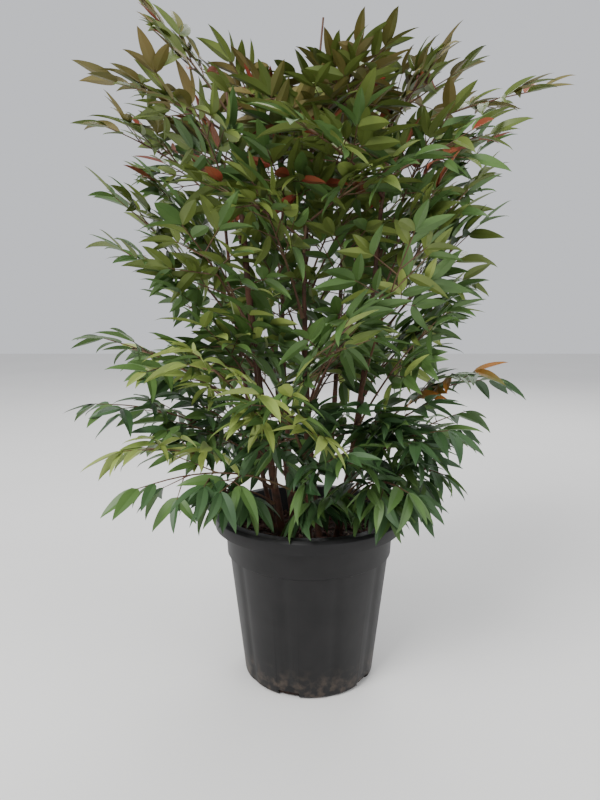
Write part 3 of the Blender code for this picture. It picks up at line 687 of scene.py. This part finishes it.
def mottle_group():
    """A node group that mixes two colours by noise on the object's own coordinates."""
    if "Mottle" in bpy.data.node_groups:
        return bpy.data.node_groups["Mottle"]
    inputs = {"First": "Color", "Second": "Color", "Scale": "Float"}
    outputs = {"Colour": "Color", "Value": "Float"}
    tree, given, result = new_tree("Mottle", "ShaderNodeTree", inputs, outputs)
    place = tree.nodes.new("ShaderNodeTexCoord")
    grain = tree.nodes.new("ShaderNodeTexNoise")
    grain.inputs["Detail"].default_value = MOTTLE_DETAIL
    spread = tree.nodes.new("ShaderNodeMapRange")
    spread.inputs["From Min"].default_value = MOTTLE_EDGES[0]
    spread.inputs["From Max"].default_value = MOTTLE_EDGES[1]
    blend = tree.nodes.new("ShaderNodeMix")
    blend.data_type = "RGBA"
    link_nodes(
        tree,
        (place, "Object", grain, "Vector"),
        (given, "Scale", grain, "Scale"),
        (grain, "Fac", spread, "Value"),
        (spread, "Result", blend, "Factor"),
        (given, "First", blend, MIX_FIRST),
        (given, "Second", blend, MIX_SECOND),
        (blend, MIX_RESULT, result, "Colour"),
        (spread, "Result", result, "Value"),
    )
    return tree


def dust_group():
    """A node group whose mask is 1 on the splashed foot of the pot, broken up by noise, and 0 above it."""
    if "Dust" in bpy.data.node_groups:
        return bpy.data.node_groups["Dust"]
    tree, given, result = new_tree("Dust", "ShaderNodeTree", {"Height": "Float"}, {"Mask": "Float"})
    place = tree.nodes.new("ShaderNodeTexCoord")
    axes = tree.nodes.new("ShaderNodeSeparateXYZ")
    fade = tree.nodes.new("ShaderNodeMapRange")
    fade.inputs["To Min"].default_value = 1.0
    fade.inputs["To Max"].default_value = 0.0
    grain = tree.nodes.new("ShaderNodeTexNoise")
    grain.inputs["Scale"].default_value = DUST_GRAIN
    grain.inputs["Detail"].default_value = DUST_DETAIL
    cut = tree.nodes.new("ShaderNodeMapRange")
    cut.inputs["From Min"].default_value = DUST_EDGES[0]
    cut.inputs["From Max"].default_value = DUST_EDGES[1]
    product = tree.nodes.new("ShaderNodeMath")
    product.operation = "MULTIPLY"
    link_nodes(
        tree,
        (place, "Object", axes, "Vector"),
        (place, "Object", grain, "Vector"),
        (axes, "Z", fade, "Value"),
        (given, "Height", fade, "From Max"),
        (grain, "Fac", cut, "Value"),
        (fade, "Result", product, 0),
        (cut, "Result", product, 1),
        (product, "Value", result, "Mask"),
    )
    return tree


def surface(name):
    """A Principled material in two mottled colours, with fine relief and, where asked, dust at its foot."""
    finish = FINISHES[name]
    material = bpy.data.materials.new(name)
    material.use_nodes = True
    nodes = material.node_tree.nodes
    links = material.node_tree.links
    shader = nodes["Principled BSDF"]
    shader.inputs["Roughness"].default_value = finish.roughness
    shader.inputs["Specular IOR Level"].default_value = SPECULAR
    mottle = nodes.new("ShaderNodeGroup")
    mottle.node_tree = mottle_group()
    mottle.inputs["First"].default_value = (*finish.first, 1.0)
    mottle.inputs["Second"].default_value = (*finish.second, 1.0)
    mottle.inputs["Scale"].default_value = finish.grain
    colour = mottle.outputs["Colour"]
    if finish.dust is not None:
        mask = nodes.new("ShaderNodeGroup")
        mask.node_tree = dust_group()
        mask.inputs["Height"].default_value = finish.dust
        blend = nodes.new("ShaderNodeMix")
        blend.data_type = "RGBA"
        blend.inputs[MIX_SECOND].default_value = (*DUST_COLOUR, 1.0)
        links.new(mask.outputs["Mask"], blend.inputs["Factor"])
        links.new(colour, blend.inputs[MIX_FIRST])
        colour = blend.outputs[MIX_RESULT]
    links.new(colour, shader.inputs["Base Color"])
    if finish.relief:
        relief = nodes.new("ShaderNodeBump")
        relief.inputs["Strength"].default_value = finish.relief
        relief.inputs["Distance"].default_value = RELIEF_HEIGHT
        links.new(mottle.outputs["Value"], relief.inputs["Height"])
        links.new(relief.outputs["Normal"], shader.inputs["Normal"])
    return material


def named_input(tree, name):
    """The identifier of a node tree's input socket."""
    return next(item.identifier for item in tree.interface.items_tree if item.name == name)


def attribute_node(tree, name, kind):
    """A node that reads one of the source points' attributes."""
    reader = tree.nodes.new("GeometryNodeInputNamedAttribute")
    reader.data_type = kind
    reader.inputs["Name"].default_value = name
    return reader


def scatter_tree():
    """Geometry Nodes that set a form on every point, turned and sized by the point's attributes."""
    inputs = {"Geometry": "Geometry", "Form": "Object", "Material": "Material"}
    tree, given, result = new_tree("Scatter", "GeometryNodeTree", inputs, {"Geometry": "Geometry"})
    form = tree.nodes.new("GeometryNodeObjectInfo")
    turn = attribute_node(tree, "turn", "FLOAT_VECTOR")
    rotation = tree.nodes.new("FunctionNodeEulerToRotation")
    size = attribute_node(tree, "size", "FLOAT")
    instance = tree.nodes.new("GeometryNodeInstanceOnPoints")
    realize = tree.nodes.new("GeometryNodeRealizeInstances")
    paint = tree.nodes.new("GeometryNodeSetMaterial")
    link_nodes(
        tree,
        (given, "Form", form, "Object"),
        (given, "Geometry", instance, "Points"),
        (form, "Geometry", instance, "Instance"),
        (turn, "Attribute", rotation, 0),
        (rotation, 0, instance, "Rotation"),
        (size, "Attribute", instance, "Scale"),
        (instance, "Instances", realize, "Geometry"),
        (realize, "Geometry", paint, "Geometry"),
        (given, "Material", paint, "Material"),
        (paint, "Geometry", result, "Geometry"),
    )
    return tree


def twig_tree():
    """Geometry Nodes that give every line of a mesh a round section, as thick as its points' attribute."""
    inputs = {"Geometry": "Geometry", "Sides": "Int", "Material": "Material"}
    tree, given, result = new_tree("Twigs", "GeometryNodeTree", inputs, {"Geometry": "Geometry"})
    lines = tree.nodes.new("GeometryNodeMeshToCurve")
    thick = attribute_node(tree, "thick", "FLOAT")
    radius = tree.nodes.new("GeometryNodeSetCurveRadius")
    ring = tree.nodes.new("GeometryNodeCurvePrimitiveCircle")
    ring.inputs["Radius"].default_value = 1.0
    sweep = tree.nodes.new("GeometryNodeCurveToMesh")
    sweep.inputs["Fill Caps"].default_value = True
    realize = tree.nodes.new("GeometryNodeRealizeInstances")
    paint = tree.nodes.new("GeometryNodeSetMaterial")
    link_nodes(
        tree,
        (given, "Geometry", lines, "Mesh"),
        (lines, "Curve", radius, "Curve"),
        (thick, "Attribute", radius, "Radius"),
        (given, "Sides", ring, "Resolution"),
        (radius, "Curve", sweep, "Curve"),
        (ring, "Curve", sweep, "Profile Curve"),
        (thick, "Attribute", sweep, "Scale"),
        (sweep, "Mesh", realize, "Geometry"),
        (realize, "Geometry", paint, "Geometry"),
        (given, "Material", paint, "Material"),
        (paint, "Geometry", result, "Geometry"),
    )
    return tree


def grown(name, source, tree, values):
    """The plain mesh that a Geometry Nodes tree makes of a source mesh, as an object at the origin."""
    holder = link_object(f"{name}_source", source)
    modifier = holder.modifiers.new("grow", "NODES")
    modifier.node_group = tree
    for label, value in values.items():
        modifier[named_input(tree, label)] = value
    graph = bpy.context.evaluated_depsgraph_get()
    mesh = bpy.data.meshes.new_from_object(holder.evaluated_get(graph))
    holder.modifiers.clear()
    bpy.data.objects.remove(holder, do_unlink=True)
    face_outwards(mesh)
    mesh.shade_smooth()
    return link_object(name, mesh)


def points_mesh(name, sites):
    """A mesh of loose points with each site's turn and size."""
    mesh = bpy.data.meshes.new(f"{name}_points")
    mesh.from_pydata([tuple(site.root) for site in sites], [], [])
    turn = mesh.attributes.new("turn", "FLOAT_VECTOR", "POINT")
    turn.data.foreach_set("vector", [value for site in sites for value in site.turn])
    size = mesh.attributes.new("size", "FLOAT", "POINT")
    size.data.foreach_set("value", [site.length for site in sites])
    return mesh


def lines_mesh(name, twigs):
    """A mesh of open lines, whose points know how thick they are."""
    verts = []
    edges = []
    thick = []
    for points, radii in twigs:
        edges += [(len(verts) + step, len(verts) + step + 1) for step in range(len(points) - 1)]
        verts += [tuple(point) for point in points]
        thick += radii
    mesh = bpy.data.meshes.new(f"{name}_lines")
    mesh.from_pydata(verts, edges, [])
    mesh.attributes.new("thick", "FLOAT", "POINT").data.foreach_set("value", thick)
    return mesh


def leaflet_form(name, curl):
    """A leaflet one unit long: a thin closed blade, folded along its midrib, whose point curls down."""
    slender = settings().slenderness
    verts = [Vector((0.0, 0.0, 0.0))]
    for station in range(1, STATIONS):
        share = station / STATIONS
        half = slender / 2 * math.sin(math.pi * share**BLADE_SKEW) ** BLADE_FULLNESS
        rise = -curl * share**2
        thick = BLADE_THICKNESS * (BLADE_THINNING - share)
        edge = BLADE_FOLD * half
        for across, lift in ((-half, edge), (0.0, thick), (half, edge), (0.0, -thick)):
            verts.append(Vector((share, across, rise + lift)))
    verts.append(Vector((1.0, 0.0, -curl * TIP_CURL)))
    faces = []
    for side in range(4):
        beside = (side + 1) % 4
        faces.append((0, 1 + side, 1 + beside))
        for station in range(STATIONS - 2):
            here = 1 + 4 * station
            faces.append((here + side, here + 4 + side, here + 4 + beside, here + beside))
        last = 1 + 4 * (STATIONS - 2)
        faces.append((last + side, len(verts) - 1, last + beside))
    return mesh_object(name, verts, faces)


def chip_form(name):
    """A splinter of bark one unit long."""
    work = bmesh.new()
    bmesh.ops.create_cube(work, size=1.0)
    for vert in work.verts:
        vert.co.y *= CHIP_BREADTH + CHIP_BREADTH_WANDER * noise(vert.co * CHIP_BREADTH_GRAIN)
        vert.co.z *= CHIP_THICKNESS
        vert.co.x *= 1.0 + CHIP_LENGTH_WANDER * noise(vert.co * CHIP_LENGTH_GRAIN)
    return shaped_object(name, work)


def leaflet_site(site, forward, side, face, spread, length, draws):
    """Where a leaflet sits and how it is turned, by the same rule as the leaves of the solids."""
    direction = forward * math.cos(spread) + side * math.sin(spread)
    droop = droop_at(site.z) * LEAFLET_DROOP + draws.uniform(-LEAFLET_WANDER, LEAFLET_WANDER)
    direction -= UP * droop
    direction.normalize()
    normal = face + side * draws.uniform(-LEAFLET_ROLL, LEAFLET_ROLL)
    normal += forward * draws.uniform(-LEAFLET_PITCH, LEAFLET_PITCH)
    normal = (normal - direction * normal.dot(direction)).normalized()
    across = normal.cross(direction)
    turn = Matrix((direction, across, normal)).transposed().to_euler()
    return Site(site - direction * LEAFLET_SINK, tuple(turn), length * draws.uniform(*LEAFLET_RANGE))


def cluster(joint, direction, side, face, twigs, sites, radius, draws):
    """A short twig with three leaflets at its end."""
    end = joint + direction * PINNULE_LENGTH * draws.uniform(*PINNULE_RANGE)
    twigs.append(([joint, end], [radius, radius * TWIG_TAPER]))
    for turn in CLUSTER_TURNS:
        place = joint.lerp(end, CLUSTER_SIDE if turn else CLUSTER_END)
        sites.append(leaflet_site(place, direction, side, face, turn, settings().leaflet, draws))


def side_twig(curve, share, hand, reach, roll, draws):
    """Where a side twig starts and ends, its direction, its side and its upper face."""
    forward, side, face = frond_axes(curve, share, roll)
    spread = math.radians(draws.uniform(*PINNA_SPREAD))
    direction = forward * math.cos(spread) + side * hand * math.sin(spread)
    direction -= UP * droop_at(curve[2].z) * PINNA_DROOP
    direction += UP * draws.uniform(*PINNA_LIFT)
    direction.normalize()
    start = stalk_point(*curve, share)
    length = (curve[2] - curve[0]).length
    end = start + direction * length * reach * draws.uniform(*PINNA_REACH_RANGE)
    across = face.cross(direction).normalized()
    return start, end, direction, across, direction.cross(across)


def dress_side_twig(number, placed, radius, twigs, sites, draws):
    """A side twig's leaflets: three at its end and, on the two lower pairs, more at its fork."""
    start, end, direction, across, upper = placed
    cluster(end, direction, across, upper, twigs, sites, radius, draws)
    if number >= len(FORK_SHARES):
        return
    fork = start.lerp(end, FORK_SHARES[number])
    for turn in FORK_TURNS:
        if number == 0:
            branch = direction * math.cos(turn) + across * math.sin(turn)
            cluster(fork, branch, upper.cross(branch), upper, twigs, sites, radius, draws)
        else:
            sites.append(leaflet_site(fork, direction, across, upper, turn, settings().leaflet, draws))


def grow_fine_frond(curve, fullness, draws):
    """A frond's twigs and leaflets: a stalk swollen at its foot, pairs of side twigs, and end leaflets."""
    roll = draws.uniform(-FROND_ROLL, FROND_ROLL)
    foot = settings().twig_radius
    shares = [step / STALK_STEPS for step in range(STALK_STEPS + 1)]
    radii = [foot * lerp(*STALK_TAPER, share) for share in shares]
    radii[0] *= STALK_FOOT_SWELL
    twigs = [([stalk_point(*curve, share) for share in shares], radii)]
    sites = []
    radius = foot * SIDE_TWIG_RADIUS
    swollen = [radius * TWIG_JOINT_SWELL, radius, radius * TWIG_TAPER]
    for number, (joint, reach) in enumerate(SIDE_TWIGS):
        for hand in (-1, 1):
            placed = side_twig(curve, joint + hand * PINNA_STAGGER, hand, reach, roll, draws)
            if draws.random() > fullness + SIDE_TWIG_SPARE:
                continue
            start, end = placed[:2]
            twigs.append(([start, start.lerp(end, TWIG_JOINT), end], swollen))
            dress_side_twig(number, placed, radius * FINE_TWIG_RADIUS, twigs, sites, draws)
    forward, side, face = frond_axes(curve, 1.0, roll)
    tip = curve[2] + forward * STALK_EXTENSION
    twigs.append(([curve[2], tip], [foot * STALK_TAPER[1], foot * STALK_TIP]))
    size = settings().leaflet * END_LEAFLET_SIZE
    for back, turn in END_LEAFLETS:
        sites.append(leaflet_site(tip.lerp(curve[2], back), forward, side, face, turn, size, draws))
    return twigs, sites


def plan_fronds():
    """Every frond of the plant by name: its curve, fullness and draws, as the solids have them."""
    planned = {}
    side_fronds = SIDE_FRONDS | LOW_SPRAYS
    for ring_name, ring in (RINGS | FILL_RINGS).items():
        side_fronds.update(ring_fronds(ring_name, ring))
    for name, frond in side_fronds.items():
        curve = stalk_curve(side_start(frond)[0], frond)
        planned[name] = (curve, frond.fullness, random.Random(name))
    for cane_name in CANES:
        leader = leader_tube(cane_name)
        base = leader.points[0]
        lean = (leader.points[-1] - base).normalized()
        for number, frond in enumerate(top_fronds(cane_name)):
            curve = stalk_curve(base + lean * frond.height, frond)
            seeded = random.Random(f"{cane_name}{number}")
            name = f"{cane_name.replace('cane', 'top')}_{number}"
            planned[name] = (curve, frond.fullness, seeded)
    return planned


def spray_colour(name, site, draws):
    """The colour of a leaflet, by its frond and its height."""
    height = site.root.z
    if name in PALE_FRONDS:
        return "pale" if draws.random() < PALE_CHANCE else "green"
    if name == TURNING_FROND and draws.random() < TURNING_CHANCE:
        return "orange"
    if height > RED_BAND and draws.random() < settings().red_share * (height / HIGH) ** 2:
        return "red"
    if height > TOP_BAND:
        return "bronze" if draws.random() < BRONZE_CHANCE else "olive"
    if height > MIDDLE_BAND:
        return "olive" if draws.random() < OLIVE_CHANCE else "green"
    if height > LOW_BAND:
        return "green" if draws.random() < GREEN_CHANCE else "pale"
    return "dark" if draws.random() < DARK_CHANCE else "green"


def crown_nodes():
    """The names of the solids that are foliage."""
    return [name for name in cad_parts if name.startswith(("frond_", "top_"))]


def pocket_cutter(name, outward):
    """A drum that presses the shallow arched pocket into the wall above a drain notch."""
    reach = BASE_RADIUS - POCKET_DEPTH
    work = bmesh.new()
    drum = Matrix.Translation(outward * (reach + POCKET_RADIUS) + UP * POCKET_MIDDLE)
    drum = drum @ outward.to_track_quat("Z", "Y").to_matrix().to_4x4()
    bmesh.ops.create_cone(
        work,
        cap_ends=True,
        segments=POCKET_SIDES,
        radius1=POCKET_RADIUS,
        radius2=POCKET_RADIUS,
        depth=2 * POCKET_RADIUS,
        matrix=drum,
    )
    return shaped_object(name, work)


def notch_cutter(name, outward):
    """A box that cuts one drain notch through the pot's lower corner."""
    sideways = UP.cross(outward)
    corners = [
        outward * reach + sideways * side + UP * height
        for height in (-NOTCH_UNDERCUT, NOTCH_HEIGHT)
        for side in (-NOTCH_WIDTH / 2, NOTCH_WIDTH / 2)
        for reach in (BASE_RADIUS - NOTCH_DEPTH, BASE_RADIUS + NOTCH_OVERCUT)
    ]
    return mesh_object(name, corners, box_faces(), smooth=False)


def fine_flute(index, step, radius):
    """The radius of the pot's section, drawn in by the flutes along its body."""
    wave = math.cos(math.tau * step / FINE_POT_SEGMENTS * POT_SEGMENTS / FLUTE_SEGMENTS)
    return radius - FLUTE_DEPTH * max(0.0, wave) ** FLUTE_SHARPNESS if index in FLUTED_RINGS else radius


class PLANT_OT_pot(bpy.types.Operator):
    """Makes the pot, with its lip, collar, flutes and drain notches"""

    bl_idname = "plant.pot"
    bl_label = "Pot"

    def execute(self, context):
        verts, faces = turned_profile(pot_profile(), FINE_POT_SEGMENTS, fine_flute)
        pot = mesh_object("pot_shell", verts, faces)
        pot.data.materials.append(surface("pot_plastic"))
        cutters = []
        for number in range(NOTCH_COUNT):
            azimuth = NOTCH_AZIMUTH + math.tau * number / NOTCH_COUNT
            outward = Vector((math.cos(azimuth), math.sin(azimuth), 0.0))
            cutters.append(notch_cutter(f"cutter_{number}", outward))
            cutters.append(pocket_cutter(f"pocket_{number}", outward))
        for cutter in cutters:
            cut = pot.modifiers.new(cutter.name, "BOOLEAN")
            cut.operation = "DIFFERENCE"
            cut.object = cutter
        rounding = pot.modifiers.new("rounding", "BEVEL")
        rounding.width = EDGE_ROUNDING
        rounding.segments = EDGE_STEPS
        rounding.limit_method = "ANGLE"
        graph = context.evaluated_depsgraph_get()
        finished = bpy.data.meshes.new_from_object(pot.evaluated_get(graph))
        pot.modifiers.clear()
        pot.data = finished
        pot.data.set_sharp_from_angle(angle=SHARP_EDGE)
        for cutter in cutters:
            bpy.data.objects.remove(cutter, do_unlink=True)
        declare(pot, ["pot"])
        return {"FINISHED"}


def soil_profile(reach):
    """The soil's section: up the inside of the pot, then over its top in close rings."""
    below = COLLAR_BOTTOM - 2 * COLLAR_SLOPE
    waist = inner_radius(below) - SOIL_GAP
    top = [lerp(reach, SOIL_MIDDLE, step / SOIL_RINGS) for step in range(SOIL_RINGS + 1)]
    return [
        (0.0, FLOOR + CLEARANCE),
        (inner_radius(FLOOR) - SOIL_GAP, FLOOR + CLEARANCE),
        (waist, below),
        (waist, COLLAR_BOTTOM + 2 * COLLAR_SLOPE),
        *[(radius, SOIL_TOP - SOIL_SINK) for radius in top],
        (0.0, SOIL_TOP - SOIL_CROWN),
    ]


def heave(verts):
    """Lifts and sinks the top of the soil in broad and fine lumps."""
    for vert in verts:
        if vert.z > SOIL_TOP - SOIL_LOOSE:
            vert.z += sum(height * noise(vert * grain) for height, grain in SOIL_HEAVES)


def chip_sites(name, count, sizes, reach):
    """Where loose pieces lie, evenly over the soil."""
    draws = random.Random(name)
    sites = []
    for _chip in range(count):
        angle = draws.uniform(0.0, math.tau)
        out = (reach - CHIP_MARGIN) * math.sqrt(draws.random())
        place = Vector((out * math.cos(angle), out * math.sin(angle), SOIL_TOP - CHIP_SINK))
        tilt = (draws.uniform(-CHIP_TILT, CHIP_TILT), draws.uniform(-CHIP_TILT, CHIP_TILT))
        turn = (*tilt, draws.uniform(0.0, math.tau))
        sites.append(Site(place, turn, draws.uniform(*sizes)))
    return sites


class PLANT_OT_soil(bpy.types.Operator):
    """Makes the soil, its bark chips and its pale flecks"""

    bl_idname = "plant.soil"
    bl_label = "Soil"

    def execute(self, context):
        reach = inner_radius(SOIL_TOP) - CLEARANCE
        profile = soil_profile(reach)
        verts, faces = turned_profile(profile, SOIL_SIDES, lambda index, step, radius: radius)
        heave(verts)
        bed = mesh_object("soil_bed", verts, faces)
        bed.data.materials.append(surface("soil"))
        declare(bed, ["soil"])
        tree = scatter_tree()
        kinds = (
            ("soil_chips", settings().chips, CHIP_SIZES),
            ("soil_flecks", settings().flecks, FLECK_SIZES),
        )
        form = chip_form("chip_form")
        for name, count, sizes in kinds:
            points = points_mesh(name, chip_sites(name, count, sizes, reach))
            piece = grown(name, points, tree, {"Form": form, "Material": surface(name)})
            declare(piece, ["soil"])
        bpy.data.objects.remove(form, do_unlink=True)
        return {"FINISHED"}


def joint_swell(cane, height):
    """How much thicker a cane is at a height, for its leaf scars and the sheaths above them."""
    phase = (height / JOINT_SPACING + cane.foot_x * JOINTS_APART) % 1.0
    scar = JOINT_SWELL * math.exp(-(((phase - JOINT_MIDDLE) / JOINT_WIDTH) ** 2))
    return 1.0 + scar + SHEATH_FLARE * max(0, phase - SHEATH_START)


def cane_skin(cane):
    """The points of a cane's bark, ring by ring from just under the soil to its top."""
    points = []
    for ring in range(CANE_FINE_RINGS):
        height = lerp(SOIL_TOP - CANE_SINK, cane.top, ring / (CANE_FINE_RINGS - 1))
        standing = max(height, SOIL_TOP)
        middle = cane_point(cane, standing)
        middle.z = height
        thick = cane_radius(cane, standing) * joint_swell(cane, height)
        grain = height * BARK_GRAIN + cane.foot_y * BARK_VARIETY
        for step in range(CANE_FINE_SIDES):
            angle = math.tau * step / CANE_FINE_SIDES
            ridge = noise(Vector((math.cos(angle) * BARK_RIDGES, math.sin(angle) * BARK_RIDGES, grain)))
            radius = thick * (1.0 + BARK_RELIEF * ridge)
            points.append(middle + Vector((radius * math.cos(angle), radius * math.sin(angle), 0.0)))
    return points


class PLANT_OT_canes(bpy.types.Operator):
    """Makes the canes, with their leaf scars, sheaths and bark"""

    bl_idname = "plant.canes"
    bl_label = "Canes"

    def execute(self, context):
        verts = []
        faces = []
        for cane in CANES.values():
            begin = len(verts)
            verts += cane_skin(cane)
            for ring in range(CANE_FINE_RINGS - 1):
                here = begin + ring * CANE_FINE_SIDES
                above = here + CANE_FINE_SIDES
                for step in range(CANE_FINE_SIDES):
                    beside = (step + 1) % CANE_FINE_SIDES
                    faces.append((here + step, here + beside, above + beside, above + step))
            faces.append(tuple(reversed(range(begin, begin + CANE_FINE_SIDES))))
            faces.append(tuple(range(len(verts) - CANE_FINE_SIDES, len(verts))))
        canes = mesh_object("canes_bark", verts, faces)
        canes.data.materials.append(surface("bark"))
        declare(canes, list(CANES))
        return {"FINISHED"}


class PLANT_OT_crown(bpy.types.Operator):
    """Makes the twigs and the leaflets of the whole crown"""

    bl_idname = "plant.crown"
    bl_label = "Crown"

    def execute(self, context):
        twigs = []
        leaflets = {colour: ([], []) for colour in PALETTE}
        draws = random.Random("colours")
        for name, (curve, fullness, seeded) in plan_fronds().items():
            own_twigs, sites = grow_fine_frond(curve, fullness, seeded)
            twigs += own_twigs
            for number, site in enumerate(sites):
                leaflets[spray_colour(name, site, draws)][number % 2].append(site)
        for cane_name in CANES:
            leader = leader_tube(cane_name)
            twigs.append((leader.points, leader.radii))
        values = {"Sides": TWIG_SIDES, "Material": surface("twig")}
        piece = grown("twigs", lines_mesh("twigs", twigs), twig_tree(), values)
        declare(piece, crown_nodes())
        tree = scatter_tree()
        forms = (leaflet_form("leaflet_flat", FLAT_CURL), leaflet_form("leaflet_curled", DEEP_CURL))
        for colour, groups in leaflets.items():
            material = surface(f"leaf_{colour}")
            for form, sites in zip(forms, groups):
                if not sites:
                    continue
                name = f"leaves_{colour}_{form.name.split('_')[1]}"
                piece = grown(name, points_mesh(name, sites), tree, {"Form": form, "Material": material})
                piece.data.set_sharp_from_angle(angle=MIDRIB_ANGLE)
                declare(piece, crown_nodes())
        for form in forms:
            bpy.data.objects.remove(form, do_unlink=True)
        return {"FINISHED"}


class PLANT_OT_stage(bpy.types.Operator):
    """Sets a pale floor, soft lights and the photo's camera"""

    bl_idname = "plant.stage"
    bl_label = "Stage"

    def execute(self, context):
        scene = context.scene
        far = FLOOR_REACH
        corners = [(-far, -far, 0), (far, -far, 0), (far, far, 0), (-far, far, 0)]
        floor = mesh_object("floor", corners, [(0, 1, 2, 3)], smooth=False)
        floor.data.materials.append(surface("floor"))
        for name, (place, power, size) in LAMPS.items():
            lamp = bpy.data.lights.new(name, "AREA")
            lamp.energy = power
            lamp.size = size
            hung = link_object(name, lamp)
            hung.location = place
            aim = LAMP_AIM - Vector(place)
            hung.rotation_euler = aim.to_track_quat("-Z", "Y").to_euler()
        world = bpy.data.worlds.new("studio")
        world.use_nodes = True
        sky = world.node_tree.nodes["Background"]
        sky.inputs["Color"].default_value = STUDIO_COLOUR
        sky.inputs["Strength"].default_value = STUDIO_STRENGTH
        scene.world = world
        lens = bpy.data.cameras.new("camera")
        lens.lens = CAMERA_LENS
        camera = link_object("camera", lens)
        camera.location = CAMERA_PLACE
        camera.rotation_euler = (CAMERA_TILT, 0.0, 0.0)
        scene.camera = camera
        return {"FINISHED"}


class PLANT_PT_panel(bpy.types.Panel):
    """The plant's sizes and the steps that build it"""

    bl_label = "Potted plant"
    bl_space_type = "VIEW_3D"
    bl_region_type = "UI"
    bl_category = "Plant"

    def draw(self, context):
        for name in PlantSettings.__annotations__:
            self.layout.prop(context.scene.plant_settings, name)
        for step in STEPS:
            self.layout.operator(step.bl_idname)


STEPS = (PLANT_OT_pot, PLANT_OT_soil, PLANT_OT_canes, PLANT_OT_crown, PLANT_OT_stage)
CLASSES = (PlantSettings, *STEPS, PLANT_PT_panel)


def register():
    """Adds the settings, the operators and the panel."""
    for kind in CLASSES:
        bpy.utils.register_class(kind)
    bpy.types.Scene.plant_settings = bpy.props.PointerProperty(type=PlantSettings)


def unregister():
    """Takes them away again."""
    del bpy.types.Scene.plant_settings
    for kind in reversed(CLASSES):
        bpy.utils.unregister_class(kind)


def main():
    """Builds every piece on the frame, in order."""
    register()
    bpy.ops.plant.pot()
    bpy.ops.plant.soil()
    bpy.ops.plant.canes()
    bpy.ops.plant.crown()
    bpy.ops.plant.stage()


if __name__ == "__main__":
    main()
